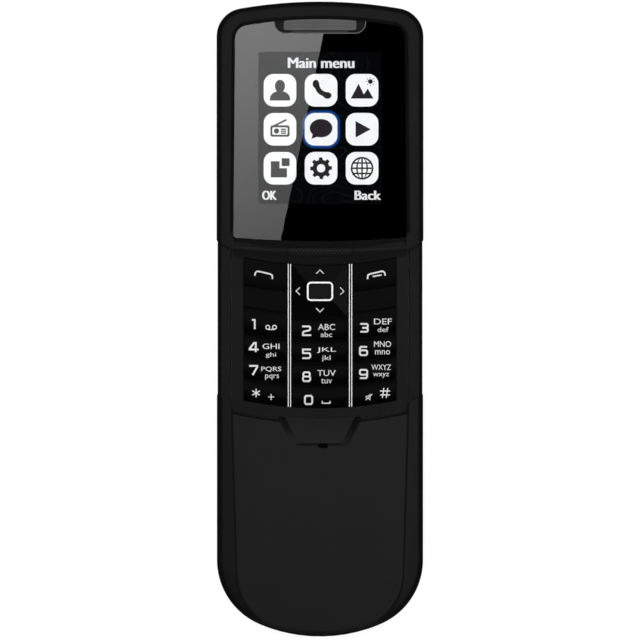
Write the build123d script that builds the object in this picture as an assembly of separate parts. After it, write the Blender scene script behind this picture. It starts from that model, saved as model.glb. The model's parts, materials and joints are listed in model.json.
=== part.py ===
from build123d import *

import os
from math import asin, atan2, degrees, hypot, sqrt

# Slider phone on its back, slid open. +Z leaves the front, +Y points to the earpiece end. Millimetres.

# Lengths along the front, from the earpiece end down
TOP_RIM = 4.0
WINDOW_LENGTH = 51.0
SILL_LENGTH = 5.3
CALL_ROW = 6.5
SOFT_ROW = 4.8
FIRST_DIGIT_ROW = 6.1
DIGIT_ROW = 5.2
DIGIT_ROWS_BELOW = 3
KEYPAD_CHIN = 3.1
COVER_LENGTH = 49.2
CLOSED_EDGE_GAP = 1.2

# Widths across the front
HEAD_WIDTH = 47.4
COVER_SETBACK = 0.06
COVER_PROUD = 0.1
TRAY_WALL = 2.94
KEYPAD_SIDE = 2.78
CENTRE_COLUMN = 12.92
WEB_WIDTH = 1.14

# Rounded ends and the curve that the sill and the key rows follow
TOP_CROWN_R = 107.0
TOP_CORNER_R = 6.5
BOTTOM_CROWN_RISE = 9.13
BOTTOM_CORNER_R = 16.0
SMILE_R = 87.2
SILL_R = 235.0

# Stack from the back to the front
BATTERY_COVER_T = 1.2
BATTERY_T = 4.4
BAY_CLEARANCE = 0.2
BAY_ROOF_T = 0.6
BASE_PLATE_T = 0.5
SPRING_SPACE = 0.7
CARRIAGE_T = 0.5
REAR_HOUSING_T = 1.0
BOARD_STANDOFF = 0.6
BOARD_T = 0.8
DOME_T = 0.25
MEMBRANE_T = 0.35
KEY_TRAVEL = 0.35
KEY_SPARE = 0.05
KEY_T = 1.05
KEY_SINK = 0.05
HEAD_FLANGE_T = 3.3
COVER_T = 2.8

# Clearances
SLIDE_CLEARANCE = 0.2
FACE_CLEARANCE = 0.3
CLOSE_GAP = 0.3
KEY_INSET = 0.15
SEAT_GAP = 0.1
MICRO_GAP = 0.05

# Edges
BACK_EDGE_R = 4.0
TRAY_EDGE_R = 0.9
HEAD_EDGE_R = 1.3
COVER_EDGE_R = 1.3

# Display head
HEAD_OVERHANG = 3.3
HOUSING_WALL = 1.2
DECK_T = 0.8
WINDOW_TOP_SIDE = 4.2
WINDOW_SIDE = 3.75
WINDOW_CORNER_R = 3.2
WINDOW_FOOT_R = 0.6
WINDOW_T = 0.9
WINDOW_SINK = 0.4
WINDOW_BEVEL = 0.7
MASK_T = 0.1
LEDGE_T = 0.8
PICTURE_SIDE = 5.85
PICTURE_DROP = 7.6
PICTURE_FOOT = 8.6
LCD_SIDE = 3.2
LCD_HEAD = 3.1
LCD_FOOT = 5.9
LCD_T = 2.2
BRACKET_T = 0.8
BRACKET_LEG = 2.0
NOTCH_WIDTH = 20.9
NOTCH_DEPTH = 3.3
NOTCH_R = 2.4
GRILLE_WIDTH = 16.6
GRILLE_DEPTH = 2.5
GRILLE_ROWS = 2
GRILLE_HOLES = 20
GRILLE_HOLE_R = 0.1
GRILLE_EDGE = 0.9
RECEIVER_WIDTH = 13.0
RECEIVER_DEPTH = 4.2
RECEIVER_T = 1.9

# Sill bar under the window
LIP_LENGTH = 1.4
LIP_DROP = 0.2
BAR_DEPTH = 2.0
BAR_TOP_R = 375.0
BAR_FOOT_R = 155.0
BAR_CREST_R = 220.0
BAR_CREST_DROP = 0.12
BAR_HEAD_DROP = 0.3
BAR_FOOT_DROP = 0.55
BAR_SEAT_DROP = 2.0
SLOPE_R = 115.0
SLOPE_DROP = 1.7
GRIP_WIDTH = 15.4
GRIP_SLANT = 0.6
BAR_SPLIT = 0.2

# Keys
KEY_CROWN = 0.35
CALL_CROWN = 0.2
NAV_SLOPE_DROP = 0.42
NAV_TILT_ROOM = 0.2
ROCKER_T = 0.25
ROCKER_WIDTH = 9.0
ROCKER_LENGTH = 7.4
RING_WIDTH = 6.1
RING_LENGTH = 4.5
RING_LINE = 0.42
RING_CORNER_R = 1.0
STRIP_T = 0.43
STRIP_GROOVE = 0.36
STRIP_GROOVE_DEPTH = 0.2
DOME_R = 1.7
NAV_DOME_REACH = 4.4

# Sliding mechanism
CARRIAGE_SETBACK = 4.0
CARRIAGE_END_GAP = 1.2
RAIL_END_GAP = 1.0
CARRIAGE_SIDE = 0.75
RAIL_WIDTH = 1.7
RAIL_BACK = 0.55
RAIL_LIP_T = 0.35
PIN_R = 0.6
FIXED_PIN_SIDE = 4.9
MOVING_PIN_X = 6.0
MOVING_PIN_SETBACK = 18.0
EYE_R = 1.2
WIRE_D = 0.5
SPRING_BEND_SIDE = 1.6
SPRING_BEND_DROP = 3.5
SPRING_BEND_R = 2.5
FLEX_WIDTH = 8.0
FLEX_T = 0.15
FLEX_LOOP = 30.0
FLEX_RISE_FROM_TOP = 68.8
FLEX_SLOT = 1.6

# Sleeve interior
BACK_WALL = 1.5
TRAY_END_WALL = 2.5
SPEAKER_BAY_LENGTH = 18.5
BAY_SIDE_WALL = 3.2
PARTITION = 1.2
CONTACT_ZONE = 22.0
ANTENNA_ZONE = 15.1
BATTERY_EDGE_R = 1.0
COVER_LAP = 0.9
COVER_CORNER_R = 2.5
SPEAKER_WIDTH = 22.0
SPEAKER_LENGTH = 14.0
SPEAKER_T = 3.4
SPEAKER_SLOTS = 7
SPEAKER_SLOT_PITCH = 3.0
SPEAKER_SLOT_WIDTH = 1.0
SPEAKER_SLOT_LENGTH = 8.0
CONTACTS_WIDTH = 10.0
CONTACTS_DEPTH = 3.0
CONTACTS_T = 2.6
USB_WIDTH = 7.5
USB_HEIGHT = 2.5
USB_DEPTH = 6.2
USB_SKIN = 0.3
USB_TONGUE_T = 0.5
USB_TONGUE_WIDTH = 5.2
USB_RECESS = 0.4
USB_FROM_BAY_TOP = 10.0
SIM_WIDTH = 16.0
SIM_LENGTH = 15.0
SIM_T = 1.5
SIM_SKIN = 0.25

# Screws
SCREW_R = 0.7
SCREW_HEAD_R = 1.3
SCREW_HEAD_T = 0.4
SCREW_LENGTH = 3.0
SCREW_HOLE_R = 0.75
BOSS_R = 1.8

# Small parts in the head and the plate
CAMERA_FROM_TOP = 15.0
CAMERA_SIZE = 7.0
CAMERA_BARREL_R = 2.4
CAMERA_WINDOW_R = 3.3
CAMERA_WINDOW_T = 0.6
MOTOR_R = 4.5
MOTOR_T = 2.2
MOTOR_SIDE_GAP = 0.7
MOTOR_FROM_TOP = 26.0
BOARD_TOP_GAP = 19.0
SHIELD_WIDTH = 24.0
SHIELD_LENGTH = 13.0
SHIELD_T = 1.1
SHIELD_SKIN = 0.2
MIC_R = 2.0
MIC_T = 1.0
MIC_PORT_R = 0.6

# Front cover
WING_TIP = 6.4
WING_ROOT = 4.6
WING_STEP = 0.4
WING_R = 0.7
PANEL_TOP_SIDE = 3.34
PANEL_FOOT_SIDE = 5.04
PANEL_FOOT = 1.75
PANEL_CROWN_RISE = 3.59
PANEL_CORNER_R = 12.0
PANEL_STEP = 0.3
PANEL_STEP_RUN = 0.45
RIM_DROP = 0.8
RIM_SIDE_REACH = 12.0
RIM_FOOT_REACH = 0.6
LIP_BEVEL = 0.45
LIP_FALL = 1.0
SCOOP_TOP_WIDTH = 18.2
SCOOP_FOOT_WIDTH = 13.0
SCOOP_LENGTH = 5.4
SCOOP_CORNER_R = 1.2
SCOOP_WALL_RUN = 1.7
SCOOP_FOOT_RUN = 0.6
SCOOP_LIP_DEPTH = 0.5
SCOOP_FOOT_DEPTH = 0.15
MIC_SIDE = 0.7
MIC_SLOT_LENGTH = 2.2
MIC_SLOT_WIDTH = 1.1
COVER_SKIN = 1.6
POCKET_INSET = 1.5

NEAR = 0.001
BEYOND = 10.0

# Places along Y
keypad_length = CALL_ROW + SOFT_ROW + FIRST_DIGIT_ROW + DIGIT_ROWS_BELOW * DIGIT_ROW
travel = keypad_length + KEYPAD_CHIN - CLOSED_EDGE_GAP
open_length = TOP_RIM + WINDOW_LENGTH + SILL_LENGTH + keypad_length + KEYPAD_CHIN + COVER_LENGTH
y_top = open_length / 2
y_bottom = -open_length / 2
window_top = y_top - TOP_RIM
window_bottom = window_top - WINDOW_LENGTH
keypad_top = window_bottom - SILL_LENGTH
keypad_bottom = keypad_top - keypad_length
cover_edge = keypad_bottom - KEYPAD_CHIN
tongue_edge = cover_edge + CLOSED_EDGE_GAP - CLOSE_GAP
tray_top = y_top - travel
picture_top = window_top - PICTURE_DROP
picture_bottom = window_bottom + PICTURE_FOOT
lcd_top = picture_top + LCD_HEAD
lcd_bottom = picture_bottom - LCD_FOOT
speaker_bay_top = tray_top - TRAY_END_WALL
speaker_bay_bottom = speaker_bay_top - SPEAKER_BAY_LENGTH
bay_top = speaker_bay_bottom - PARTITION
battery_top = bay_top - CONTACT_ZONE
antenna_top = y_bottom + ANTENNA_ZONE
bay_bottom = antenna_top + PARTITION
battery_bottom = bay_bottom + BAY_CLEARANCE

# Half widths and insets
head_half = HEAD_WIDTH / 2
cover_half = head_half - COVER_SETBACK
crown_r = (cover_half**2 + BOTTOM_CROWN_RISE**2) / (2 * BOTTOM_CROWN_RISE)
channel_inset = COVER_PROUD + TRAY_WALL
plate_inset = channel_inset + SLIDE_CLEARANCE
tray_half = cover_half - COVER_PROUD
channel_half = cover_half - channel_inset
plate_half = cover_half - plate_inset
plate_bottom = y_bottom + plate_inset + travel
body_top = y_top - HEAD_OVERHANG
window_half = head_half - WINDOW_SIDE
picture_half = window_half - PICTURE_SIDE
lcd_half = picture_half + LCD_SIDE
keypad_half = plate_half - KEYPAD_SIDE
web_in = CENTRE_COLUMN / 2
web_out = web_in + WEB_WIDTH
strip_x = (web_in + web_out) / 2
columns = [(-keypad_half, -web_out), (-web_in, web_in), (web_out, keypad_half)]
bay_half = channel_half - BAY_SIDE_WALL
battery_half = bay_half - BAY_CLEARANCE
rail_inner = channel_half - RAIL_WIDTH
carriage_half = channel_half - CARRIAGE_SIDE

# Heights
bay_roof = BATTERY_COVER_T + BATTERY_T + 2 * BAY_CLEARANCE
channel_floor = bay_roof + BAY_ROOF_T
base_top = channel_floor + BASE_PLATE_T
carriage_bottom = base_top + SPRING_SPACE
slider_back = carriage_bottom + CARRIAGE_T
housing_back = slider_back + REAR_HOUSING_T
board_bottom = housing_back + BOARD_STANDOFF
board_top = board_bottom + BOARD_T
membrane_bottom = board_top + DOME_T
membrane_top = membrane_bottom + MEMBRANE_T
key_bottom = membrane_top + KEY_TRAVEL + KEY_SPARE
key_top = key_bottom + KEY_T
plate_top = key_top + KEY_SINK
deck_under = plate_top - DECK_T
flange_under = plate_top + FACE_CLEARANCE
head_top = flange_under + HEAD_FLANGE_T
cover_top = flange_under + COVER_T
window_face_z = head_top - WINDOW_SINK
window_back = window_face_z - WINDOW_T
ledge_top = window_back - MASK_T
ledge_under = ledge_top - LEDGE_T
lcd_face = ledge_top - MICRO_GAP
lcd_back = lcd_face - LCD_T
bracket_bottom = lcd_back - BRACKET_T


def block(x0, x1, y0, y1, z0, z1):
    """Box between two opposite corners."""
    return Pos((x0 + x1) / 2, (y0 + y1) / 2, (z0 + z1) / 2) * Box(x1 - x0, y1 - y0, z1 - z0)


def wide_block(half, y0, y1, z0, z1):
    """Box centred on the phone's middle plane."""
    return block(-half, half, y0, y1, z0, z1)


def rod(radius, x, y, z0, z1):
    """Upright cylinder."""
    return Pos(x, y, (z0 + z1) / 2) * Cylinder(radius, z1 - z0)


def prism(face, z0, z1):
    """Flat outline pulled up from z0 to z1."""
    return extrude(Pos(0, 0, z0) * face, z1 - z0, dir=(0, 0, 1))


def outline(half, y_low, y_high, low=None, high=None, half_high=None):
    """Straight-sided outline; low and high hold an end's crown and corner radius, or None if it is square."""
    wide = half if half_high is None else half_high
    low_side = y_low + (low[0] - sqrt(low[0] ** 2 - half**2) if low else 0)
    high_side = y_high - (high[0] - sqrt(high[0] ** 2 - wide**2) if high else 0)
    corners = [(-half, low_side), (half, low_side), (wide, high_side), (-wide, high_side)]
    low_edge = ThreePointArc(corners[0], (0, y_low), corners[1]) if low else Line(corners[0], corners[1])
    high_edge = ThreePointArc(corners[2], (0, y_high), corners[3]) if high else Line(corners[2], corners[3])
    face = make_face([low_edge, Line(corners[1], corners[2]), high_edge, Line(corners[3], corners[0])])
    for end, side in ((low, low_side), (high, high_side)):
        if end:
            face = fillet([v for v in face.vertices() if abs(v.Y - side) < NEAR], end[1])
    return face


def side_start(inset):
    """Place along Y where the sleeve's lower corner ends and its straight side starts."""
    crown, corner = crown_r - inset, BOTTOM_CORNER_R - inset
    reach = cover_half - inset - corner
    return y_bottom + inset + crown - sqrt((crown - corner) ** 2 - reach**2)


def sleeve_outline(inset, y_high):
    """Outline of the sleeve's rounded lower end, moved inwards."""
    ends = (crown_r - inset, BOTTOM_CORNER_R - inset)
    return outline(cover_half - inset, y_bottom + inset, y_high, low=ends)


def slider_outline(inset):
    """Outline of the sliding unit's body, between the sleeve's walls."""
    low = (crown_r - plate_inset - inset, BOTTOM_CORNER_R - plate_inset - inset)
    high = (TOP_CROWN_R - HEAD_OVERHANG - inset, TOP_CORNER_R - HEAD_OVERHANG - inset)
    return outline(plate_half - inset, plate_bottom + inset, body_top - inset, low=low, high=high)


def smile(x, y, radius=SMILE_R):
    """Height along Y of the smile curve through (0, y)."""
    return y + radius - sqrt(radius**2 - x**2)


def smile_arc(x0, x1, y, radius=SMILE_R):
    """Piece of the smile curve through (0, y)."""
    middle = (x0 + x1) / 2
    ends = [(x, smile(x, y, radius)) for x in (x0, middle, x1)]
    return ThreePointArc(*ends)


def smile_cell(x0, x1, y_low, y_high):
    """Cell between two smile curves and two straight sides."""
    right = Line((x1, smile(x1, y_low)), (x1, smile(x1, y_high)))
    left = Line((x0, smile(x0, y_high)), (x0, smile(x0, y_low)))
    return make_face([smile_arc(x0, x1, y_low), right, smile_arc(x1, x0, y_high), left])


def along_smile(edges, y, radius):
    """Profile drawn at x = 0, swept along a smile curve through (0, y)."""
    axis = Axis((0, y + radius, 0), (0, 0, 1))
    half_angle = degrees(asin(head_half / (radius - SILL_LENGTH)))
    return revolve(make_face(edges), axis, 2 * half_angle).rotate(axis, -half_angle)


def mirrored(shape):
    """Copy on the other side of the phone's middle plane."""
    return mirror(shape, Plane.YZ)


def screws(places, z_head, up):
    """Screws with their heads' outer face at z_head, pointing up or down."""
    way = 1 if up else -1
    found = []
    for x, y in places:
        ends = sorted((z_head, z_head + way * SCREW_HEAD_T))
        tips = sorted((z_head + way * SCREW_HEAD_T, z_head + way * (SCREW_HEAD_T + SCREW_LENGTH)))
        found.append(rod(SCREW_HEAD_R, x, y, *ends) + rod(SCREW_R, x, y, *tips))
    return Compound(children=[part.solid() for part in found])


def both_sides(points):
    """Each point and its mirror image."""
    return [(side * x, y) for x, y in points for side in (-1, 1)]


# Screw places
base_screw_x = bay_half - BOSS_R / 2
base_screws_at = both_sides(
    [
        (base_screw_x, speaker_bay_top - BOSS_R / 2),
        (base_screw_x, speaker_bay_bottom + BOSS_R / 2),
    ]
) + [(0, antenna_top - BOSS_R / 2)]
side_boss_x = plate_half - HOUSING_WALL - BOSS_R + SEAT_GAP
low_boss_x = plate_half - HOUSING_WALL - 3 * BOSS_R
low_boss_y = plate_bottom + HOUSING_WALL + 3 * BOSS_R
motor_x = BOSS_R + MOTOR_R + MOTOR_SIDE_GAP - side_boss_x
board_end = body_top - HEAD_OVERHANG - BOARD_TOP_GAP - CAMERA_SIZE
housing_screws_at = both_sides(
    [
        (low_boss_x, low_boss_y),
        (side_boss_x, board_end + 2 * BOSS_R),
        (side_boss_x, body_top - HOUSING_WALL - BOSS_R),
    ]
)

# Slide pins and flex
moving_pin_y = tray_top - CARRIAGE_SETBACK - MOVING_PIN_SETBACK
fixed_pin_x = rail_inner - FIXED_PIN_SIDE
fixed_pin_y = moving_pin_y - travel / 2
flex_drop_y = bay_top - PARTITION
flex_rise_y = y_top - FLEX_RISE_FROM_TOP
flex_bend_y = flex_rise_y - FLEX_LOOP
carriage_high = tray_top - CARRIAGE_SETBACK
rail_low = side_start(channel_inset) + RAIL_END_GAP
carriage_low = rail_low + travel + CARRIAGE_END_GAP
stakes_at = both_sides(
    [(MOVING_PIN_X * 2, carriage_high - CARRIAGE_SETBACK), (MOVING_PIN_X * 2, carriage_low + CARRIAGE_SETBACK)]
)


# Edge between the front cover and the sliding unit
wing_foot_x = plate_half - WING_STEP
scoop_half = SCOOP_TOP_WIDTH / 2


def wing(x):
    """Height along Y of the cover's slanted wing edge."""
    slope = (WING_TIP - WING_ROOT) / (cover_half - plate_half)
    return cover_edge + WING_ROOT + slope * (x - plate_half)


def above_cover_edge():
    """Region above the cover's upper edge: wings on the tray's rims, smile curve, tongue of the scoop."""
    far = head_half + 1
    right = [
        Line((far, wing(far)), (plate_half, wing(plate_half))),
        Line((plate_half, wing(plate_half)), (wing_foot_x, smile(wing_foot_x, cover_edge))),
        smile_arc(wing_foot_x, scoop_half, cover_edge),
        Line((scoop_half, smile(scoop_half, cover_edge)), (scoop_half, smile(scoop_half, tongue_edge))),
    ]
    left = [mirror(edge, Plane.YZ) for edge in right]
    roof = Polyline((far, wing(far)), (far, keypad_top), (-far, keypad_top), (-far, wing(far)))
    face = make_face(right + left + [smile_arc(-scoop_half, scoop_half, tongue_edge), roof])
    rounded = [v for v in face.vertices() if abs(abs(v.X) - plate_half) < NEAR]
    return fillet(rounded, WING_R)


def head_plan():
    """Outline of the display head, down to the seams on the rims and the sill's lower edge."""
    step_x = wing_foot_x - CLOSE_GAP
    shift = travel + CLOSE_GAP
    far = head_half + 1
    right = [
        Line((far, wing(far) + shift), (step_x, wing(step_x) + shift)),
        Line((step_x, wing(step_x) + shift), (step_x, smile(step_x, keypad_top))),
    ]
    left = [mirror(edge, Plane.YZ) for edge in right]
    floor = Polyline((far, wing(far) + shift), (far, cover_edge), (-far, cover_edge), (-far, wing(far) + shift))
    return make_face(right + left + [smile_arc(-step_x, step_x, keypad_top), floor])


def window_face(inset):
    """Outline of the display window with the notch for the earpiece."""
    half_low, half_high = window_half - inset, head_half - WINDOW_TOP_SIDE - inset
    top = window_top - inset
    crown = TOP_CROWN_R - TOP_RIM - inset
    top_side = top - crown + sqrt(crown**2 - half_high**2)
    low_side = smile(half_low, window_bottom + inset, SILL_R)
    face = make_face(
        [
            smile_arc(-half_low, half_low, window_bottom + inset, SILL_R),
            Line((half_low, low_side), (half_high, top_side)),
            ThreePointArc((half_high, top_side), (0, top), (-half_high, top_side)),
            Line((-half_high, top_side), (-half_low, low_side)),
        ]
    )
    face = fillet([v for v in face.vertices() if v.Y > low_side + NEAR], WINDOW_CORNER_R - inset)
    return fillet([v for v in face.vertices() if abs(v.Y - low_side) < NEAR], WINDOW_FOOT_R)


def window_bevel():
    """Slope from the head's face down to the window, along its top and sides."""
    low = smile(window_half, window_bottom, SILL_R) + 2 * WINDOW_FOOT_R
    ends = [Pos(0, 0, window_face_z) * window_face(0), Pos(0, 0, head_top) * window_face(-WINDOW_BEVEL)]
    return loft(ends, ruled=True) & wide_block(head_half, low, y_top, window_face_z, head_top)


def notch_face(inset):
    """Earpiece notch in the window's upper edge."""
    half = NOTCH_WIDTH / 2 - inset
    low = window_top - NOTCH_DEPTH + inset
    face = make_face(Polyline((-half, y_top), (-half, low), (half, low), (half, y_top), close=True))
    return fillet([v for v in face.vertices() if abs(v.Y - low) < NEAR], NOTCH_R - inset)


# Sleeve


def make_back_shell():
    """Tray with side walls, slide channel, battery bay, loudspeaker bay and antenna bay."""
    low = (crown_r - COVER_PROUD, BOTTOM_CORNER_R - COVER_PROUD)
    plan = outline(tray_half, y_bottom + COVER_PROUD, tray_top, low=low, high=(TOP_CROWN_R, TOP_CORNER_R))
    tray = prism(plan, 0, plate_top)
    tray = fillet(tray.faces().sort_by(Axis.Z)[0].outer_wire().edges(), BACK_EDGE_R)
    tray = fillet(tray.faces().sort_by(Axis.Z)[-1].outer_wire().edges(), TRAY_EDGE_R)
    tray -= prism(sleeve_outline(channel_inset, tray_top + BEYOND), channel_floor, plate_top + BEYOND)
    tray -= wide_block(bay_half, speaker_bay_bottom, speaker_bay_top, BACK_WALL, channel_floor)
    low_bay = prism(sleeve_outline(channel_inset, tray_top), BACK_WALL, channel_floor)
    tray -= low_bay & wide_block(cover_half, y_bottom, antenna_top, 0, channel_floor)
    tray -= wide_block(bay_half, bay_bottom, bay_top, -BEYOND, bay_roof)
    tray -= prism(battery_cover_plan(0), -BEYOND, BATTERY_COVER_T + MICRO_GAP)
    for x, y in base_screws_at:
        tray += rod(BOSS_R, x, y, BACK_WALL - MICRO_GAP, channel_floor)
        tray -= rod(SCREW_HOLE_R, x, y, channel_floor - SCREW_LENGTH - SEAT_GAP, channel_floor)
    slot = FLEX_WIDTH / 2 + CLOSE_GAP
    tray -= wide_block(slot, flex_drop_y - FLEX_SLOT, flex_drop_y + FLEX_SLOT / 2, bay_roof - 1, channel_floor)
    usb_y = bay_top - USB_FROM_BAY_TOP
    usb_half = USB_WIDTH / 2 + SEAT_GAP
    usb_low = bay_roof - BOARD_T - USB_HEIGHT - SEAT_GAP
    tray -= block(-cover_half, -bay_half + 1, usb_y - usb_half, usb_y + usb_half, usb_low, bay_roof)
    speaker_y = (speaker_bay_top + speaker_bay_bottom) / 2
    for i in range(SPEAKER_SLOTS):
        x = (i - (SPEAKER_SLOTS - 1) / 2) * SPEAKER_SLOT_PITCH
        slot_face = SlotOverall(SPEAKER_SLOT_LENGTH, SPEAKER_SLOT_WIDTH, rotation=90)
        tray -= Pos(x, speaker_y, 0) * prism(slot_face, -BEYOND, BACK_WALL + SEAT_GAP)
    return tray


def battery_cover_plan(inset):
    """Rounded rectangle of the battery cover."""
    half = bay_half + COVER_LAP - inset
    low, high = bay_bottom - COVER_LAP + inset, bay_top + COVER_LAP - inset
    return Pos(0, (low + high) / 2) * RectangleRounded(2 * half, high - low, COVER_CORNER_R - inset)


def panel_plan(grow):
    """Outline of the front cover's raised panel, moved outwards."""
    half = cover_half - PANEL_FOOT_SIDE
    crown = (half**2 + PANEL_CROWN_RISE**2) / (2 * PANEL_CROWN_RISE)
    return outline(
        half + grow,
        y_bottom + PANEL_FOOT - grow,
        cover_ceiling,
        low=(crown + grow, PANEL_CORNER_R + grow),
        half_high=cover_half - PANEL_TOP_SIDE + grow,
    )


def under_cover_rim():
    """Space under the front cover's rim, which falls outwards, and most of all at the bottom."""
    low = (crown_r + RIM_SIDE_REACH, BOTTOM_CORNER_R + RIM_SIDE_REACH)
    skirt = outline(cover_half + RIM_SIDE_REACH, y_bottom - RIM_FOOT_REACH, cover_ceiling, low=low)
    skirt = Pos(0, 0, rim_top - RIM_DROP) * skirt
    space = loft([skirt, Pos(0, 0, rim_top) * panel_plan(PANEL_STEP_RUN)], ruled=True)
    return space + extrude(skirt, 2 * COVER_T, dir=(0, 0, -1))


def scoop_plan(side_inset, foot_inset):
    """Outline of the thumb scoop, with its sides and its foot moved inwards."""
    foot_half = SCOOP_FOOT_WIDTH / 2
    wall_slope = (scoop_half - foot_half) / SCOOP_LENGTH
    foot_y = cover_edge - SCOOP_LENGTH + foot_inset
    foot_half += wall_slope * foot_inset - side_inset
    roof_half = scoop_half + wall_slope * (keypad_bottom - cover_edge) - side_inset
    plan = make_face(
        Polyline(
            (-foot_half, foot_y), (foot_half, foot_y), (roof_half, keypad_bottom), (-roof_half, keypad_bottom),
            close=True,
        )
    )
    return fillet([v for v in plan.vertices() if abs(v.Y - foot_y) < NEAR], SCOOP_CORNER_R)


def scoop_cut():
    """Thumb scoop: a floor that falls towards the tongue, between slanted walls."""
    foot_y = cover_edge - SCOOP_LENGTH
    slope = degrees(atan2(SCOOP_LIP_DEPTH - SCOOP_FOOT_DEPTH, tongue_edge - foot_y))
    lean = Pos(0, foot_y, cover_top - SCOOP_FOOT_DEPTH) * Rot(-slope, 0, 0) * Pos(0, -foot_y, 0)
    floor = lean * scoop_plan(SCOOP_WALL_RUN, SCOOP_FOOT_RUN)
    return loft([floor, Pos(0, 0, cover_top) * scoop_plan(0, 0)], ruled=True)


def lip_cut():
    """Steep bevel along the cover's upper edge, on both sides of the scoop."""
    over = SEAT_GAP
    rise = over * LIP_FALL / LIP_BEVEL
    low, high = cover_edge - LIP_BEVEL - over, cover_edge + over
    profile = Polyline(
        (0, low, cover_top + rise), (0, high, cover_top + rise), (0, high, cover_top - LIP_FALL - rise), close=True
    )
    zone = (y_bottom, keypad_top, plate_top, head_top)
    return along_smile(profile, cover_edge, SMILE_R) & (wide_block(wing_foot_x, *zone) - wide_block(scoop_half, *zone))


def make_front_cover():
    """Cover over the sleeve's lower part: raised panel, falling rim, thumb scoop, microphone slot."""
    plan = sleeve_outline(0, cover_ceiling)
    cover = prism(plan, plate_top, rim_top) & under_cover_rim()
    side = plan.face().outer_wire()
    rim = []
    for edge in cover.edges():
        middle, along = edge @ 0.5, edge % 0.5
        at_side = side.distance_to(Vector(middle.X, middle.Y, 0)) < NEAR
        if at_side and abs(along.Z) < 0.5 and middle.Z > plate_top + NEAR and middle.Y < cover_ceiling - NEAR:
            rim.append(edge)
    cover = fillet(rim, COVER_EDGE_R)
    cover += loft([Pos(0, 0, rim_top) * panel_plan(PANEL_STEP_RUN), Pos(0, 0, cover_top) * panel_plan(0)], ruled=True)
    cover -= prism(sleeve_outline(channel_inset, cover_ceiling), plate_top, flange_under)
    cover -= prism(above_cover_edge(), plate_top, head_top)
    cover -= lip_cut()
    cover -= scoop_cut()
    slot = Pos(MIC_SIDE, mic_y, 0) * SlotOverall(MIC_SLOT_LENGTH, MIC_SLOT_WIDTH)
    cover -= prism(slot, plate_top, head_top)
    pocket_roof = cover_top - COVER_SKIN
    pocket = prism(sleeve_outline(channel_inset + POCKET_INSET, cover_ceiling), plate_top, pocket_roof)
    cover -= pocket & wide_block(cover_half, y_bottom, mic_y - MIC_SLOT_LENGTH, plate_top, pocket_roof)
    return cover


cover_ceiling = keypad_bottom + BEYOND
rim_top = cover_top - PANEL_STEP
mic_y = cover_edge - SCOOP_LENGTH


def make_battery():
    """Battery pack."""
    z0 = BATTERY_COVER_T + BAY_CLEARANCE
    pack = wide_block(battery_half, battery_bottom, battery_top, z0, z0 + BATTERY_T)
    return fillet(pack.edges().filter_by(Axis.Z), BATTERY_EDGE_R)


def make_contact_board():
    """Small board over the battery bay's upper end, with an ear for the socket."""
    z0, z1 = bay_roof - BOARD_T, bay_roof
    board = wide_block(battery_half, battery_top + PARTITION, bay_top - BAY_CLEARANCE, z0, z1)
    usb_y = bay_top - USB_FROM_BAY_TOP
    ear_x = -cover_half + USB_RECESS + USB_DEPTH / 2
    return board + block(ear_x, 0, usb_y - USB_WIDTH / 2, usb_y + USB_WIDTH / 2, z0, z1)


def make_battery_contacts():
    """Contact block that meets the battery's upper end, with three sprung tips."""
    z1 = bay_roof - BOARD_T
    z0 = z1 - CONTACTS_T
    foot = battery_top + PARTITION
    part = wide_block(CONTACTS_WIDTH / 2, foot, foot + CONTACTS_DEPTH, z0, z1)
    tip_half = CONTACTS_WIDTH / 16
    for i in (-1, 0, 1):
        x = i * CONTACTS_WIDTH / 3
        part += block(x - tip_half, x + tip_half, battery_top + MICRO_GAP, foot + SEAT_GAP, z0, z1 - BAY_CLEARANCE)
    return part


def make_usb_socket():
    """Micro socket in the left wall: shell with a tongue."""
    y = bay_top - USB_FROM_BAY_TOP
    z1 = bay_roof - BOARD_T
    z0 = z1 - USB_HEIGHT
    x0 = -cover_half + USB_RECESS
    x1 = x0 + USB_DEPTH
    half = USB_WIDTH / 2
    shell = block(x0, x1, y - half, y + half, z0, z1)
    hole = half - USB_SKIN
    shell -= block(x0 - 1, x1 - 2 * USB_SKIN, y - hole, y + hole, z0 + USB_SKIN, z1 - USB_SKIN)
    middle = (z0 + z1) / 2
    tongue = USB_TONGUE_WIDTH / 2
    tongue_z = (middle - USB_TONGUE_T / 2, middle + USB_TONGUE_T / 2)
    return shell + block(x0 + 2 * USB_SKIN, x1 - USB_SKIN, y - tongue, y + tongue, *tongue_z)


def make_sim_holder():
    """Sheet holder for the card, open towards the battery."""
    x0 = CONTACTS_WIDTH / 2 - SIM_WIDTH / 2
    y1 = bay_top - 2 * BAY_CLEARANCE
    y0 = y1 - SIM_LENGTH
    z1 = bay_roof - BOARD_T
    z0 = z1 - SIM_T
    shell = block(x0, x0 + SIM_WIDTH, y0, y1, z0, z1)
    inner = block(x0 + SIM_SKIN, x0 + SIM_WIDTH - SIM_SKIN, y0 - 1, y1 - SIM_SKIN, z0 + SIM_SKIN, z1 - SIM_SKIN)
    return shell - inner


def make_loudspeaker():
    """Loudspeaker over the slots in the back."""
    y = (speaker_bay_top + speaker_bay_bottom) / 2
    z0 = BACK_WALL
    half_y = SPEAKER_LENGTH / 2
    body = wide_block(SPEAKER_WIDTH / 2, y - half_y, y + half_y, z0 + SEAT_GAP, z0 + SPEAKER_T)
    return body - wide_block(SPEAKER_WIDTH / 2 - 1, y - half_y + 1, y + half_y - 1, z0, z0 + 3 * SEAT_GAP)


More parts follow.
